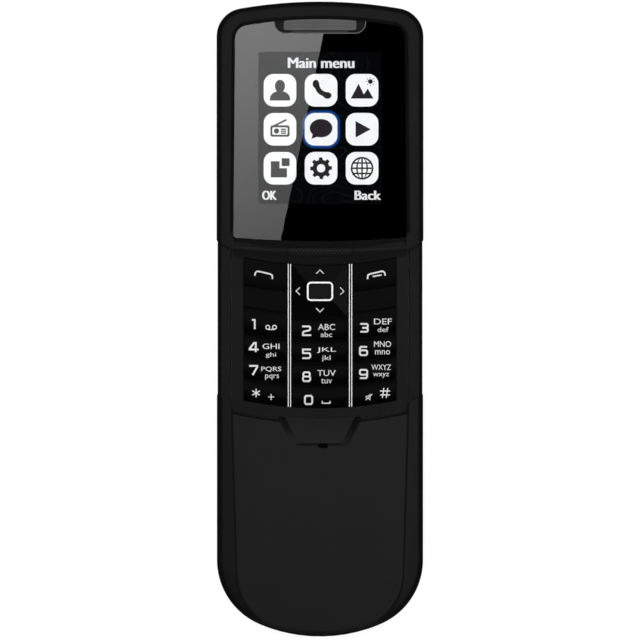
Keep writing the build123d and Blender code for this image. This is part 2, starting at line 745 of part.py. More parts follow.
def make_antenna():
    """Antenna carrier that fills the sleeve's lower end."""
    gap = CLOSE_GAP
    carrier = prism(sleeve_outline(channel_inset + gap, tray_top), BACK_WALL + SEAT_GAP, channel_floor - SEAT_GAP)
    carrier &= wide_block(cover_half, y_bottom, antenna_top - gap, 0, plate_top)
    x, y = base_screws_at[-1]
    return carrier - rod(BOSS_R + gap, x, y, 0, plate_top) - wide_block(BOSS_R + gap, y, y_top, 0, plate_top)


def make_base_plate():
    """Steel plate on the channel's floor, with the springs' fixed pins."""
    plan = sleeve_outline(channel_inset + SEAT_GAP, tray_top - 2 * PARTITION)
    plate = prism(plan, channel_floor, base_top)
    for x, y in base_screws_at:
        plate -= rod(SCREW_HOLE_R, x, y, channel_floor, base_top)
    for side in (-1, 1):
        plate += rod(PIN_R, side * fixed_pin_x, fixed_pin_y, base_top, carriage_bottom - SEAT_GAP)
    slot = FLEX_WIDTH / 2 + CLOSE_GAP
    return plate - wide_block(slot, flex_drop_y - FLEX_SLOT, flex_drop_y + FLEX_SLOT / 2, channel_floor, base_top)


def make_guide_rail():
    """Right-hand rail, a channel that holds the carriage's edge."""
    y0 = rail_low
    y1 = tray_top - 2 * PARTITION
    top = slider_back + SLIDE_CLEARANCE + RAIL_LIP_T
    rail = block(rail_inner, channel_half, y0, y1, base_top, top)
    z0, z1 = carriage_bottom - SLIDE_CLEARANCE, slider_back + SLIDE_CLEARANCE
    return rail - block(rail_inner - 1, channel_half - RAIL_BACK, y0 - 1, y1 + 1, z0, z1)


def make_slide_spring():
    """Right-hand spring wire from the fixed pin to the carriage's pin."""
    z = (base_top + carriage_bottom) / 2
    ends = [(fixed_pin_x, fixed_pin_y), (MOVING_PIN_X, moving_pin_y)]
    bend = (rail_inner - SPRING_BEND_SIDE, moving_pin_y - SPRING_BEND_DROP)
    reach = (EYE_R + PIN_R + SEAT_GAP) / 2
    points = []
    for x, y in ends:
        run = hypot(bend[0] - x, bend[1] - y)
        points.append((x + (bend[0] - x) * reach / run, y + (bend[1] - y) * reach / run, z))
    path = FilletPolyline(points[0], (*bend, z), points[1], radius=SPRING_BEND_R)
    wire = sweep(Plane(path @ 0, z_dir=path % 0) * Circle(WIRE_D / 2), path)
    for x, y in ends:
        eye = rod(EYE_R, x, y, z - WIRE_D / 2, z + WIRE_D / 2)
        wire = wire + (eye - rod(PIN_R + SEAT_GAP, x, y, z - WIRE_D, z + WIRE_D))
    return wire - rod(PIN_R + SEAT_GAP, *ends[0], z - 1, z + 1) - rod(PIN_R + SEAT_GAP, *ends[1], z - 1, z + 1)


def make_slide_flex():
    """Ribbon with a U-turn between the contact board and the main board."""
    half = FLEX_WIDTH / 2
    low, high = base_top + MICRO_GAP, carriage_bottom - MICRO_GAP
    middle, outer = (low + high) / 2, (high - low) / 2
    ribbon = wide_block(half, flex_bend_y, flex_drop_y, low, low + FLEX_T)
    ribbon += wide_block(half, flex_drop_y - FLEX_T, flex_drop_y, bay_roof, low + FLEX_T)
    ribbon += wide_block(half, flex_bend_y, flex_rise_y, high - FLEX_T, high)
    ribbon += wide_block(half, flex_rise_y - FLEX_T, flex_rise_y, high - FLEX_T, board_bottom)
    bend = Cylinder(outer, FLEX_WIDTH) - Cylinder(outer - FLEX_T, FLEX_WIDTH)
    bend = Pos(0, flex_bend_y, middle) * Rot(0, 90, 0) * bend
    return ribbon + (bend & wide_block(half, flex_bend_y - 1, flex_bend_y, low, high))


# Sliding unit: housings


bar_top = window_bottom - LIP_LENGTH
bar_foot = bar_top - BAR_DEPTH
bar_seat = head_top - BAR_SEAT_DROP


def bar_plan(inset):
    """Crescent of the sill bar between its two arcs."""
    half = wing_foot_x - CLOSE_GAP - inset
    low, high = bar_foot + inset, bar_top - inset
    right = Line((half, smile(half, low, BAR_FOOT_R)), (half, smile(half, high, BAR_TOP_R)))
    left = Line((-half, smile(half, high, BAR_TOP_R)), (-half, smile(half, low, BAR_FOOT_R)))
    return make_face(
        [smile_arc(-half, half, low, BAR_FOOT_R), right, smile_arc(half, -half, high, BAR_TOP_R), left]
    )


def sill_cut():
    """Everything above the sill: lip under the window, seat of the bar, slope down to the keypad."""
    above = head_top + 1
    bar_middle = (bar_top + bar_foot) / 2
    lip = head_top - LIP_DROP
    lip_points = [
        (window_bottom, above), (window_bottom, head_top), (bar_top, lip), (bar_middle, lip), (bar_middle, above),
    ]
    slope_top = head_top - SLOPE_DROP
    below = keypad_top - SILL_LENGTH
    slope_points = [
        (below, above), (below, flange_under), (keypad_top, flange_under), (bar_foot, slope_top),
        (bar_top, slope_top), (bar_top, above),
    ]
    cut = along_smile(Polyline(*[(0, y, z) for y, z in lip_points], close=True), window_bottom, SILL_R)
    cut += along_smile(Polyline(*[(0, y, z) for y, z in slope_points], close=True), keypad_top, SLOPE_R)
    return cut + prism(bar_plan(0), bar_seat, above)


def make_front_housing():
    """Housing of the display head and the keypad plate, open at the back."""
    body = prism(slider_outline(0), housing_back, plate_top)
    high = (TOP_CROWN_R, TOP_CORNER_R)
    flange = prism(outline(head_half, cover_edge, y_top, high=high), flange_under, head_top)
    top_edges = flange.faces().sort_by(Axis.Z)[-1].edges()
    flange = fillet([e for e in top_edges if e.center().Y > cover_edge + NEAR], HEAD_EDGE_R)
    riser = prism(slider_outline(0), plate_top, flange_under)
    head = flange + riser
    head -= prism(head_plan(), plate_top - 1, head_top + 1)
    sill_zone = wide_block(wing_foot_x - CLOSE_GAP, cover_edge, window_top, flange_under, head_top + 2)
    head -= sill_cut() & sill_zone
    housing = body + head
    cavity = prism(slider_outline(HOUSING_WALL), housing_back - 1, deck_under)
    inner = plate_half - HOUSING_WALL
    head_low = window_bottom + HOUSING_WALL
    cavity += wide_block(inner, head_low, body_top - HOUSING_WALL, deck_under - 1, ledge_under)
    housing -= cavity
    gap = BAY_CLEARANCE
    housing -= wide_block(lcd_half + gap, lcd_bottom - gap, lcd_top + gap, ledge_under - 1, ledge_top)
    housing -= prism(window_face(0), ledge_top, head_top + 1)
    housing -= window_bevel()
    housing -= prism(receiver_plan(gap), deck_under, ledge_top)
    for x0, x1 in columns:
        housing -= prism(smile_cell(x0, x1, keypad_bottom, keypad_top), deck_under - 1, plate_top + 1)
    strip_cells = [smile_cell(s * web_in, s * web_out, keypad_bottom, keypad_top) for s in (-1, 1)]
    for cell in strip_cells:
        housing -= prism(cell, plate_top - STRIP_T, plate_top + 1)
    for x, y in housing_screws_at:
        roof = deck_under if y < keypad_bottom else bracket_bottom - SEAT_GAP
        housing += rod(BOSS_R, x, y, housing_back, roof + MICRO_GAP) & cavity_keeper()
        housing -= rod(SCREW_HOLE_R, x, y, housing_back - 1, housing_back + SCREW_LENGTH - SEAT_GAP)
    return housing - rod(MIC_PORT_R, MIC_SIDE, mic_y, deck_under - 1, plate_top + 1)


def cavity_keeper():
    """Space that screw bosses may fill."""
    return prism(slider_outline(0), housing_back, plate_top)


def receiver_plan(gap):
    """Outline of the earpiece receiver."""
    half = RECEIVER_WIDTH / 2 + gap
    middle = window_top - NOTCH_DEPTH / 2
    reach = RECEIVER_DEPTH / 2 + gap
    return Pos(0, middle) * Rectangle(2 * half, 2 * reach)


def make_rear_housing():
    """Back of the sliding unit, with rebates for the rails, camera hole, board posts and stakes."""
    plate = prism(slider_outline(0), slider_back, housing_back)
    rebate = slider_back + SLIDE_CLEARANCE + RAIL_LIP_T + SEAT_GAP
    for side in (-1, 1):
        x0, x1 = sorted((side * (rail_inner - SLIDE_CLEARANCE), side * cover_half))
        plate -= block(x0, x1, y_bottom, y_top, slider_back, rebate)
    for x, y in housing_screws_at:
        plate -= rod(SCREW_HOLE_R, x, y, slider_back, housing_back)
        plate -= rod(SCREW_HEAD_R + SEAT_GAP, x, y, slider_back, slider_back + SCREW_HEAD_T + SEAT_GAP)
    camera_y = y_top - CAMERA_FROM_TOP
    plate -= rod(CAMERA_BARREL_R + SEAT_GAP, 0, camera_y, slider_back, housing_back)
    plate -= rod(CAMERA_WINDOW_R, 0, camera_y, slider_back, slider_back + CAMERA_WINDOW_T + MICRO_GAP)
    for x, y in stakes_at:
        plate += rod(PIN_R, x, y, carriage_bottom + SEAT_GAP, slider_back + SEAT_GAP)
        plate += rod(BOSS_R, x, y, housing_back - SEAT_GAP, board_bottom)
    slot = FLEX_WIDTH / 2 + CLOSE_GAP
    return plate - wide_block(slot, flex_rise_y - FLEX_SLOT, flex_rise_y + FLEX_SLOT / 2, slider_back, housing_back)


def make_carriage():
    """Steel carriage under the sliding unit, with the springs' moving pins."""
    plate = wide_block(carriage_half, carriage_low, carriage_high, carriage_bottom, slider_back)
    for x, y in stakes_at:
        plate -= rod(PIN_R + MICRO_GAP, x, y, carriage_bottom, slider_back)
    for side in (-1, 1):
        plate += rod(PIN_R, side * MOVING_PIN_X, moving_pin_y, base_top + SEAT_GAP, carriage_bottom)
    slot = FLEX_WIDTH / 2 + CLOSE_GAP
    return plate - wide_block(
        slot, flex_rise_y - FLEX_SLOT, flex_rise_y + FLEX_SLOT / 2, carriage_bottom, slider_back
    )


# Sliding unit: display


def make_display_window():
    """Clear window with the earpiece notch."""
    glass = prism(window_face(SEAT_GAP), window_back, window_face_z)
    return glass - prism(notch_face(0), window_back - 1, window_face_z + 1)


def make_window_mask():
    """Black film behind the window, open over the picture."""
    film = prism(window_face(SEAT_GAP), ledge_top, window_back)
    film -= prism(notch_face(0), ledge_top - 1, window_back + 1)
    return film - wide_block(picture_half, picture_bottom, picture_top, ledge_top - 1, window_back + 1)


def make_bracket():
    """Plate under the display module, on legs."""
    half = plate_half - HOUSING_WALL - BAY_CLEARANCE
    low, high = lcd_bottom, lcd_top - BRACKET_LEG
    plate = wide_block(half, low, high, bracket_bottom, lcd_back)
    leg_x = half - BRACKET_LEG
    for side in (-1, 1):
        x0, x1 = sorted((side * leg_x, side * half))
        plate += block(x0, x1, low, low + BRACKET_LEG, board_top, bracket_bottom)
        plate += block(x0, x1, high - 3 * BRACKET_LEG, high - 2 * BRACKET_LEG, housing_back, bracket_bottom)
    return plate


def make_earpiece_grille():
    """Metal grille in the notch."""
    half = GRILLE_WIDTH / 2
    top = window_top - SEAT_GAP
    crown = TOP_CROWN_R - TOP_RIM
    side = top - crown + sqrt(crown**2 - half**2)
    low = top - GRILLE_DEPTH
    face = make_face(
        [
            ThreePointArc((-half, side), (0, top), (half, side)),
            Polyline((half, side), (half, low), (-half, low), (-half, side)),
        ]
    )
    face = fillet(face.vertices(), GRILLE_DEPTH / 5)
    grille = prism(face, ledge_top, window_face_z)
    pitch = (GRILLE_WIDTH - 2 * GRILLE_EDGE) / (GRILLE_HOLES - 1)
    for i in range(GRILLE_ROWS * GRILLE_HOLES):
        row, place = divmod(i, GRILLE_HOLES)
        x = (place - (GRILLE_HOLES - 1) / 2) * pitch
        y = low + GRILLE_DEPTH * (row + 1) / (GRILLE_ROWS + 1)
        grille -= rod(GRILLE_HOLE_R, x, y, ledge_top - 1, head_top)
    return grille


def bar_pieces():
    """Left, right and middle pieces of the sill bar."""
    middle = (bar_top + bar_foot) / 2
    half = BAR_DEPTH / 2
    ends = [(0, middle - half, head_top - BAR_FOOT_DROP), (0, middle + half, head_top - BAR_HEAD_DROP)]
    profile = [
        ThreePointArc(ends[0], (0, middle, head_top - BAR_CREST_DROP), ends[1]),
        Polyline(ends[1], (0, middle + half, bar_seat), (0, middle - half, bar_seat), ends[0]),
    ]
    bar = along_smile(profile, middle, BAR_CREST_R) & prism(bar_plan(SEAT_GAP), bar_seat, head_top)
    half_grip = GRIP_WIDTH / 2

    def grip_plan(widen):
        """Trapezoid between the bar's two splits."""
        top, low = half_grip + widen, half_grip - GRIP_SLANT + widen
        return make_face(
            Polyline((-low, keypad_top), (low, keypad_top), (top, window_bottom), (-top, window_bottom), close=True)
        )

    grip = bar & prism(grip_plan(0), 0, head_top + 1)
    ends = bar - prism(grip_plan(BAR_SPLIT), 0, head_top + 1)
    left, right = ends.solids().sort_by(Axis.X)
    return left, right, grip


# Sliding unit: keypad


def key_body(cell, crest_y, depth, crown):
    """Key with a crest that follows the smile curve; depth is the width over which it falls by crown."""
    hump_r = (depth / 2) ** 2 / (2 * crown) + crown / 2
    hump = Pos(0, crest_y + SMILE_R, key_top - hump_r) * Torus(SMILE_R, hump_r)
    return prism(cell, key_bottom, key_top + SEAT_GAP) & hump


def inset_cell(x0, x1, y_low, y_high):
    """Cell of a key, with its clearance."""
    return smile_cell(x0 + KEY_INSET, x1 - KEY_INSET, y_low + KEY_INSET, y_high - KEY_INSET)


def make_keys():
    """Every key except the navigation key, by name, with the middle of each for its switch."""
    keys, middles = {}, []

    def add(name, column, low, high, crest, depth, crown):
        x0, x1 = column
        keys[name] = key_body(inset_cell(x0, x1, low, high), crest, depth, crown)
        middles.append(((x0 + x1) / 2, smile((x0 + x1) / 2, (low + high) / 2)))

    call_low = keypad_top - CALL_ROW
    soft_low = call_low - SOFT_ROW
    for name, column in (("call_key", columns[0]), ("end_key", columns[2])):
        add(name, column, call_low, keypad_top, keypad_top - CALL_ROW / 2, CALL_ROW, CALL_CROWN)
    for name, column in (("left_soft_key", columns[0]), ("right_soft_key", columns[2])):
        add(name, column, soft_low, call_low, soft_low, 2 * SOFT_ROW, KEY_CROWN)
    names = ["key_1", "key_2", "key_3", "key_4", "key_5", "key_6", "key_7", "key_8", "key_9"]
    names += ["key_star", "key_0", "key_hash"]
    for i, name in enumerate(names):
        row, place = divmod(i, 3)
        low = keypad_bottom + (DIGIT_ROWS_BELOW - row) * DIGIT_ROW
        tall = FIRST_DIGIT_ROW if row == 0 and place != 1 else DIGIT_ROW
        add(name, columns[place], low, low + tall, low + tall / 2, tall, KEY_CROWN)
    return keys, middles


nav_low = keypad_bottom + (DIGIT_ROWS_BELOW + 1) * DIGIT_ROW
nav_middle = (nav_low + keypad_top) / 2
nav_bottom = key_bottom + NAV_TILT_ROOM


def ring_face(inset):
    """Rounded outline around the OK key."""
    corner = max(RING_CORNER_R - inset, MICRO_GAP)
    return Pos(0, nav_middle) * RectangleRounded(RING_WIDTH - 2 * inset, RING_LENGTH - 2 * inset, corner)


def make_nav_key():
    """Four-way key: four shallow slopes that fall away from the ring."""
    half = web_in
    cell = inset_cell(-half, half, nav_low, keypad_top)
    tall = keypad_top - nav_low
    foot = Pos(0, nav_middle, key_top - NAV_SLOPE_DROP) * Rectangle(2 * half, tall)
    crest = Pos(0, nav_middle, key_top) * Rectangle(RING_WIDTH, RING_LENGTH)
    slopes = loft([foot, crest], ruled=True)
    base = Pos(0, nav_middle, 0) * prism(Rectangle(2 * half, 2 * tall), 0, key_top - NAV_SLOPE_DROP)
    key = (base + slopes) & prism(cell, nav_bottom, plate_top)
    return key - prism(ring_face(0), 0, plate_top)


def make_nav_rocker():
    """Plate under the navigation key that carries its second tilt."""
    z1 = nav_bottom - NAV_TILT_ROOM
    plate = Pos(0, nav_middle) * Rectangle(ROCKER_WIDTH, ROCKER_LENGTH)
    return prism(plate - ring_face(-SEAT_GAP), z1 - ROCKER_T, z1)


def make_trim_strips():
    """Two bright strips, each with two ridges, on the webs between the key columns."""
    found = []
    for side in (-1, 1):
        x0, x1 = sorted((side * (web_in + MICRO_GAP), side * (web_out - MICRO_GAP)))
        strip = prism(
            smile_cell(x0, x1, keypad_bottom + SEAT_GAP, keypad_top - SEAT_GAP), plate_top - STRIP_T, plate_top
        )
        x = side * strip_x
        half = STRIP_GROOVE / 2
        strip -= block(x - half, x + half, cover_edge, window_top, plate_top - STRIP_GROOVE_DEPTH, plate_top + 1)
        found.append(strip.solid())
    return Compound(children=found)


def make_membrane():
    """Rubber sheet under the keys."""
    edge = keypad_half + HOUSING_WALL / 2
    return prism(
        smile_cell(-edge, edge, keypad_bottom - HOUSING_WALL / 2, keypad_top + HOUSING_WALL / 2),
        membrane_bottom,
        membrane_top,
    )


def make_domes(middles):
    """Switch domes on the board, one for each key and four for the navigation key."""
    reach = NAV_DOME_REACH
    around = [(reach, 0), (-reach, 0), (0, reach), (0, -reach)]
    places = middles + [(0, nav_middle)] + [(x, nav_middle + y) for x, y in around]
    return Compound(children=[rod(DOME_R, x, y, board_top, membrane_bottom).solid() for x, y in places])


def make_main_board():
    """Main board, with notches for the lower screws."""
    board = prism(slider_outline(HOUSING_WALL + CLOSE_GAP), board_bottom, board_top)
    board &= wide_block(head_half, y_bottom, board_end, board_bottom, board_top)
    for x, y in housing_screws_at:
        board -= rod(BOSS_R + CLOSE_GAP, x, y, board_bottom, board_top)
    return board


def make_shield():
    """Sheet can on the board."""
    half = SHIELD_WIDTH / 2
    y1 = board_end - BRACKET_LEG
    y0 = y1 - SHIELD_LENGTH
    can = wide_block(half, y0, y1, board_top, board_top + SHIELD_T)
    skin = SHIELD_SKIN
    return can - wide_block(half - skin, y0 + skin, y1 - skin, board_top - 1, board_top + SHIELD_T - skin)


def make_camera_module():
    """Camera with its barrel in the rear housing's hole."""
    y = y_top - CAMERA_FROM_TOP
    half = CAMERA_SIZE / 2
    body = block(-half, half, y - half, y + half, housing_back, bracket_bottom - SEAT_GAP)
    return body + rod(CAMERA_BARREL_R, 0, y, slider_back + CAMERA_WINDOW_T + SEAT_GAP, housing_back + SEAT_GAP)


# All pieces by node name
left_bar, right_bar, thumb_grip = bar_pieces()
keys, key_middles = make_keys()
rail = make_guide_rail()
spring = make_slide_spring()
pieces = {
    "back_shell": make_back_shell(),
    "front_cover": make_front_cover(),
    "battery": make_battery(),
    "battery_cover": prism(battery_cover_plan(SEAT_GAP), 0, BATTERY_COVER_T),
    "contact_board": make_contact_board(),
    "battery_contacts": make_battery_contacts(),
    "usb_socket": make_usb_socket(),
    "sim_holder": make_sim_holder(),
    "loudspeaker": make_loudspeaker(),
    "antenna": make_antenna(),
    "slide_base_plate": make_base_plate(),
    "base_plate_screws": screws(base_screws_at, base_top + SCREW_HEAD_T, False),
    "guide_rail_right": rail,
    "guide_rail_left": mirrored(rail),
    "slide_spring_right": spring,
    "slide_spring_left": mirrored(spring),
    "slide_flex": make_slide_flex(),
    "front_housing": make_front_housing(),
    "rear_housing": make_rear_housing(),
    "housing_screws": screws(housing_screws_at, slider_back + SEAT_GAP, True),
    "slide_carriage": make_carriage(),
    "display_window": make_display_window(),
    "window_mask": make_window_mask(),
    "lcd_module": wide_block(lcd_half, lcd_bottom, lcd_top, lcd_back, lcd_face),
    "display_bracket": make_bracket(),
    "earpiece_grille": make_earpiece_grille(),
    "earpiece_receiver": prism(receiver_plan(0), ledge_top - RECEIVER_T, ledge_top),
    "sill_left": left_bar,
    "sill_right": right_bar,
    "thumb_grip": thumb_grip,
    "trim_strips": make_trim_strips(),
    "keypad_membrane": make_membrane(),
    "dome_switches": make_domes(key_middles),
    "main_board": make_main_board(),
    "rf_shield": make_shield(),
    "microphone": rod(MIC_R, MIC_SIDE, mic_y, board_top, board_top + MIC_T),
    "vibration_motor": rod(MOTOR_R, motor_x, y_top - MOTOR_FROM_TOP, housing_back, housing_back + MOTOR_T),
    "camera_module": make_camera_module(),
    "camera_window": rod(
        CAMERA_WINDOW_R - SEAT_GAP, 0, y_top - CAMERA_FROM_TOP, slider_back, slider_back + CAMERA_WINDOW_T
    ),
    "nav_key": make_nav_key(),
    "nav_rocker": make_nav_rocker(),
    "ok_ring": prism(ring_face(MICRO_GAP) - ring_face(RING_LINE), nav_bottom, plate_top),
    "ok_key": prism(ring_face(RING_LINE + KEY_INSET), key_bottom, key_top),
    **keys,
}

os.makedirs("parts", exist_ok=True)
for name, piece in pieces.items():
    export_step(piece, f"parts/{name}.step")
print(len(pieces), "pieces, open length", round(open_length, 2), "travel", round(travel, 2), "height", head_top)
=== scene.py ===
"""An opened slider phone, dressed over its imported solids.

Lengths are written in millimetres, in the frame of the solids, and become metres where a mesh is made.
"""

from __future__ import annotations

import json
import logging
import math
from collections.abc import Callable
from dataclasses import dataclass, field
from enum import Enum

import bpy
import numpy as np
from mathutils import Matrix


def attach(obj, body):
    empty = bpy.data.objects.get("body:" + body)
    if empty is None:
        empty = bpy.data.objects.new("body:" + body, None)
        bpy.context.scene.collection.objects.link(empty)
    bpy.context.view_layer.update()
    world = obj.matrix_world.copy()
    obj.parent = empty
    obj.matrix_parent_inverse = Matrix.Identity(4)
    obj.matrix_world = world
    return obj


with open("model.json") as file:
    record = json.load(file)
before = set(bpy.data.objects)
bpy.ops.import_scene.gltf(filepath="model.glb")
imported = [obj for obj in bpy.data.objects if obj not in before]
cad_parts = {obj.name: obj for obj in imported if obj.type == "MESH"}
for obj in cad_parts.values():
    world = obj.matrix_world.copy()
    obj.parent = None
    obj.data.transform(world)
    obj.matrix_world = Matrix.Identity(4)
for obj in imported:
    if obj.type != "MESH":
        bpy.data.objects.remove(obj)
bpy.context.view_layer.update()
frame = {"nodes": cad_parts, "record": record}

MM = 0.001
LOG = logging.getLogger("slider_phone")

Array = np.ndarray
Rgb = tuple[float, float, float]
Rgba = tuple[float, float, float, float]
Box = tuple[float, float, float, float]
Point = tuple[float, float, float]
Plan = list[tuple[float, float]]
Surface = Callable[[Array, Array], Array]

BLACK: Rgba = (0.0, 0.0, 0.0, 1.0)
WHITE: Rgba = (1.0, 1.0, 1.0, 1.0)
SIDES: tuple[tuple[int, int], ...] = ((1, 0), (0, 1), (-1, 0), (0, -1))
SLIVER = 1e-9
SHARPEST_MITRE = 0.4


class Body(Enum):
    """The bodies that new pieces ride on, apart from the keys' own."""

    UPPER = "upper_unit"
    LOWER = "lower_unit"
    NAV = "nav"


class Slot(Enum):
    """The record's material slots, which each new print holds; its finish is made apart from them."""

    DISPLAY = "display"
    KEYS = "keys"
    SILL = "sill"
    TRIM = "bright_trim"
    COVER = "cover"


class Socket(Enum):
    """Kinds of socket on a node group."""

    VALUE = "NodeSocketFloat"
    COLOUR = "NodeSocketColor"


# Shader building


class Graph:
    """A node tree with short ways to add nodes and fill their sockets."""

    def __init__(self, tree: bpy.types.NodeTree) -> None:
        """Wraps one node tree."""
        self.tree = tree

    def add(self, kind: str, inputs: dict | None = None, **settings: object) -> bpy.types.Node:
        """Adds a node.

        Args:
            kind: Blender's name of the node type.
            inputs: socket name or number to a constant, or to an output socket that is linked in.
            settings: properties of the node itself.

        Returns:
            The new node.
        """
        node = self.tree.nodes.new(kind)
        for key, value in settings.items():
            setattr(node, key, value)
        self.fill(node, inputs or {})
        return node

    def fill(self, node: bpy.types.Node, inputs: dict) -> None:
        """Fills sockets of a node.

        Args:
            node: the node.
            inputs: socket name or number to a constant, or to an output socket that is linked in.
        """
        for key, value in inputs.items():
            if isinstance(value, bpy.types.NodeSocket):
                self.tree.links.new(value, node.inputs[key])
            else:
                node.inputs[key].default_value = value

    def math(self, operation: str, *values: object) -> bpy.types.NodeSocket:
        """Adds a Math node on constants or sockets and returns its output."""
        return self.add("ShaderNodeMath", dict(enumerate(values)), operation=operation).outputs[0]

    def blend(self, factor: object, first: object, second: object) -> bpy.types.NodeSocket:
        """Mixes two colours by a factor and returns the colour."""
        return self.add("ShaderNodeMix", {0: factor, 6: first, 7: second}, data_type="RGBA").outputs[2]

    def here(self) -> bpy.types.NodeSocket:
        """Adds the Object coordinates."""
        return self.add("ShaderNodeTexCoord").outputs["Object"]

    def noise(self, place: bpy.types.NodeSocket, scale: object, detail: float) -> bpy.types.NodeSocket:
        """Adds a noise with a count per metre and a number of finer layers, and returns its value."""
        return self.add("ShaderNodeTexNoise", {"Vector": place, "Scale": scale, "Detail": detail}).outputs[0]

    def ramp(
        self, value: object, start: object, end: object, first: object = 0.0, last: object = 1.0
    ) -> bpy.types.NodeSocket:
        """Maps the way from start to end onto the way from first to last, held at both ends.

        Args:
            value: what is mapped.
            start: the value that gives first.
            end: the value that gives last.
            first: the result at the start.
            last: the result at the end.

        Returns:
            The result.
        """
        return self.add("ShaderNodeMapRange", {0: value, 1: start, 2: end, 3: first, 4: last}).outputs[0]


class Effect(Graph):
    """A surface effect as a node group, built once and placed in many materials."""

    def __init__(self, name: str, inputs: dict[str, Socket], outputs: dict[str, Socket]) -> None:
        """Makes the group and its sockets.

        Args:
            name: the group's name.
            inputs: socket names and kinds that a material sets.
            outputs: socket names and kinds that a material reads.
        """
        super().__init__(bpy.data.node_groups.new(name, "ShaderNodeTree"))
        for label, kind in inputs.items():
            self.tree.interface.new_socket(label, in_out="INPUT", socket_type=kind.value)
        for label, kind in outputs.items():
            self.tree.interface.new_socket(label, in_out="OUTPUT", socket_type=kind.value)
        self.given = self.add("NodeGroupInput").outputs
        self.result = self.add("NodeGroupOutput").inputs
        self.place = self.here()

    def put_out(self, label: str, socket: bpy.types.NodeSocket) -> None:
        """Links a socket to the group's output of that name."""
        self.tree.links.new(socket, self.result[label])

    def use(self, graph: Graph, **values: object) -> bpy.types.NodeSocket:
        """Places the group in a material.

        Args:
            graph: the material's graph.
            values: the group's inputs, as constants or sockets, with spaces written as underscores.

        Returns:
            The group's first output.
        """
        node = graph.add("ShaderNodeGroup", node_tree=self.tree)
        graph.fill(node, {key.replace("_", " "): value for key, value in values.items()})
        return node.outputs[0]


class MottledTone(Effect):
    """Two near tones in soft patches: noise on Object coordinates mixes them, between two of its values."""

    DETAIL = 5.0
    MIXED = (0.3, 0.7)

    def __init__(self) -> None:
        """Builds the group."""
        super().__init__(
            "mottled_tone",
            {"Tone": Socket.COLOUR, "Second tone": Socket.COLOUR, "Scale": Socket.VALUE},
            {"Colour": Socket.COLOUR},
        )
        mixed = self.ramp(self.noise(self.place, self.given["Scale"], self.DETAIL), *self.MIXED)
        self.put_out("Colour", self.blend(mixed, self.given["Tone"], self.given["Second tone"]))

    def lay(self, graph: Graph, tone: Rgb, second: Rgb, scale: float) -> bpy.types.NodeSocket:
        """Places the group in a material with two tones and a count per metre, and returns the colour."""
        return self.use(graph, Tone=opaque(tone), Second_tone=opaque(second), Scale=scale)


class MouldedGrain(Effect):
    """The fine pebble of a moulded face: cell distances plus a share of a finer noise, as a height."""

    FINER = 2.3
    DETAIL = 2.0
    SHARE = 0.5

    def __init__(self) -> None:
        """Builds the group."""
        super().__init__("moulded_grain", {"Scale": Socket.VALUE}, {"Height": Socket.VALUE})
        cells = self.add("ShaderNodeTexVoronoi", {"Vector": self.place, "Scale": self.given["Scale"]})
        noise = self.noise(self.place, self.math("MULTIPLY", self.given["Scale"], self.FINER), self.DETAIL)
        self.put_out("Height", self.math("MULTIPLY_ADD", noise, self.SHARE, cells.outputs["Distance"]))


class HandledSheen(Effect):
    """Roughness that wanders where fingers have polished or smeared a face: a value plus centred noise."""

    DETAIL = 6.0
    MIDDLE = 0.5

    def __init__(self) -> None:
        """Builds the group."""
        super().__init__(
            "handled_sheen",
            {"Roughness": Socket.VALUE, "Spread": Socket.VALUE, "Scale": Socket.VALUE},
            {"Roughness": Socket.VALUE},
        )
        centred = self.math("SUBTRACT", self.noise(self.place, self.given["Scale"], self.DETAIL), self.MIDDLE)
        swing = self.math("MULTIPLY", centred, self.given["Spread"])
        self.put_out("Roughness", self.math("MAXIMUM", self.math("ADD", swing, self.given["Roughness"]), 0.0))


class DrawnLines(Effect):
    """The lengthways lines of drawn or brushed metal: noise stretched along the phone, as a height."""

    STRETCH = (1.0, 0.04, 1.0)
    DETAIL = 3.0

    def __init__(self) -> None:
        """Builds the group."""
        super().__init__("drawn_lines", {"Scale": Socket.VALUE}, {"Height": Socket.VALUE})
        stretched = self.add("ShaderNodeMapping", {"Vector": self.place, "Scale": self.STRETCH})
        self.put_out("Height", self.noise(stretched.outputs[0], self.given["Scale"], self.DETAIL))


class RaisedPolish(Effect):
    """Polish that hands leave on raised faces: a weight that grows from nothing between two heights."""

    def __init__(self) -> None:
        """Builds the group."""
        super().__init__(
            "raised_polish",
            {"Weight": Socket.VALUE, "Low": Socket.VALUE, "High": Socket.VALUE},
            {"Weight": Socket.VALUE},
        )
        height = self.add("ShaderNodeSeparateXYZ", {0: self.place}).outputs[2]
        given = self.given
        self.put_out("Weight", self.ramp(height, given["Low"], given["High"], 0.0, given["Weight"]))


class PaintedWallLight(Effect):
    """Painted light: a lighter colour on faces that stand upright or look down than on the front of the same
    plastic.

    The colour is multiplied by a gain, which sets in at one upward share of the normal and is whole at a
    lower one.
    """

    UPWARD = (0.5, 0.1)

    def __init__(self) -> None:
        """Builds the group."""
        super().__init__(
            "painted_wall_light",
            {"Colour": Socket.COLOUR, "Gain": Socket.VALUE},
            {"Colour": Socket.COLOUR},
        )
        normal = self.add("ShaderNodeNewGeometry").outputs["Normal"]
        upward = self.add("ShaderNodeSeparateXYZ", {0: normal}).outputs[2]
        gain = self.ramp(upward, *self.UPWARD, 1.0, self.given["Gain"])
        lifted = self.add("ShaderNodeVectorMath", {0: self.given["Colour"], "Scale": gain}, operation="SCALE")
        self.put_out("Colour", lifted.outputs[0])


class Workshop:
    """Holds the shared effects."""

    def __init__(self) -> None:
        """Builds each effect once."""
        self.tone = MottledTone()
        self.grain = MouldedGrain()
        self.sheen = HandledSheen()
        self.lines = DrawnLines()
        self.polish = RaisedPolish()
        self.walls = PaintedWallLight()


def opaque(colour: Rgb) -> Rgba:
    """A colour with full alpha."""
    return (*colour, 1.0)


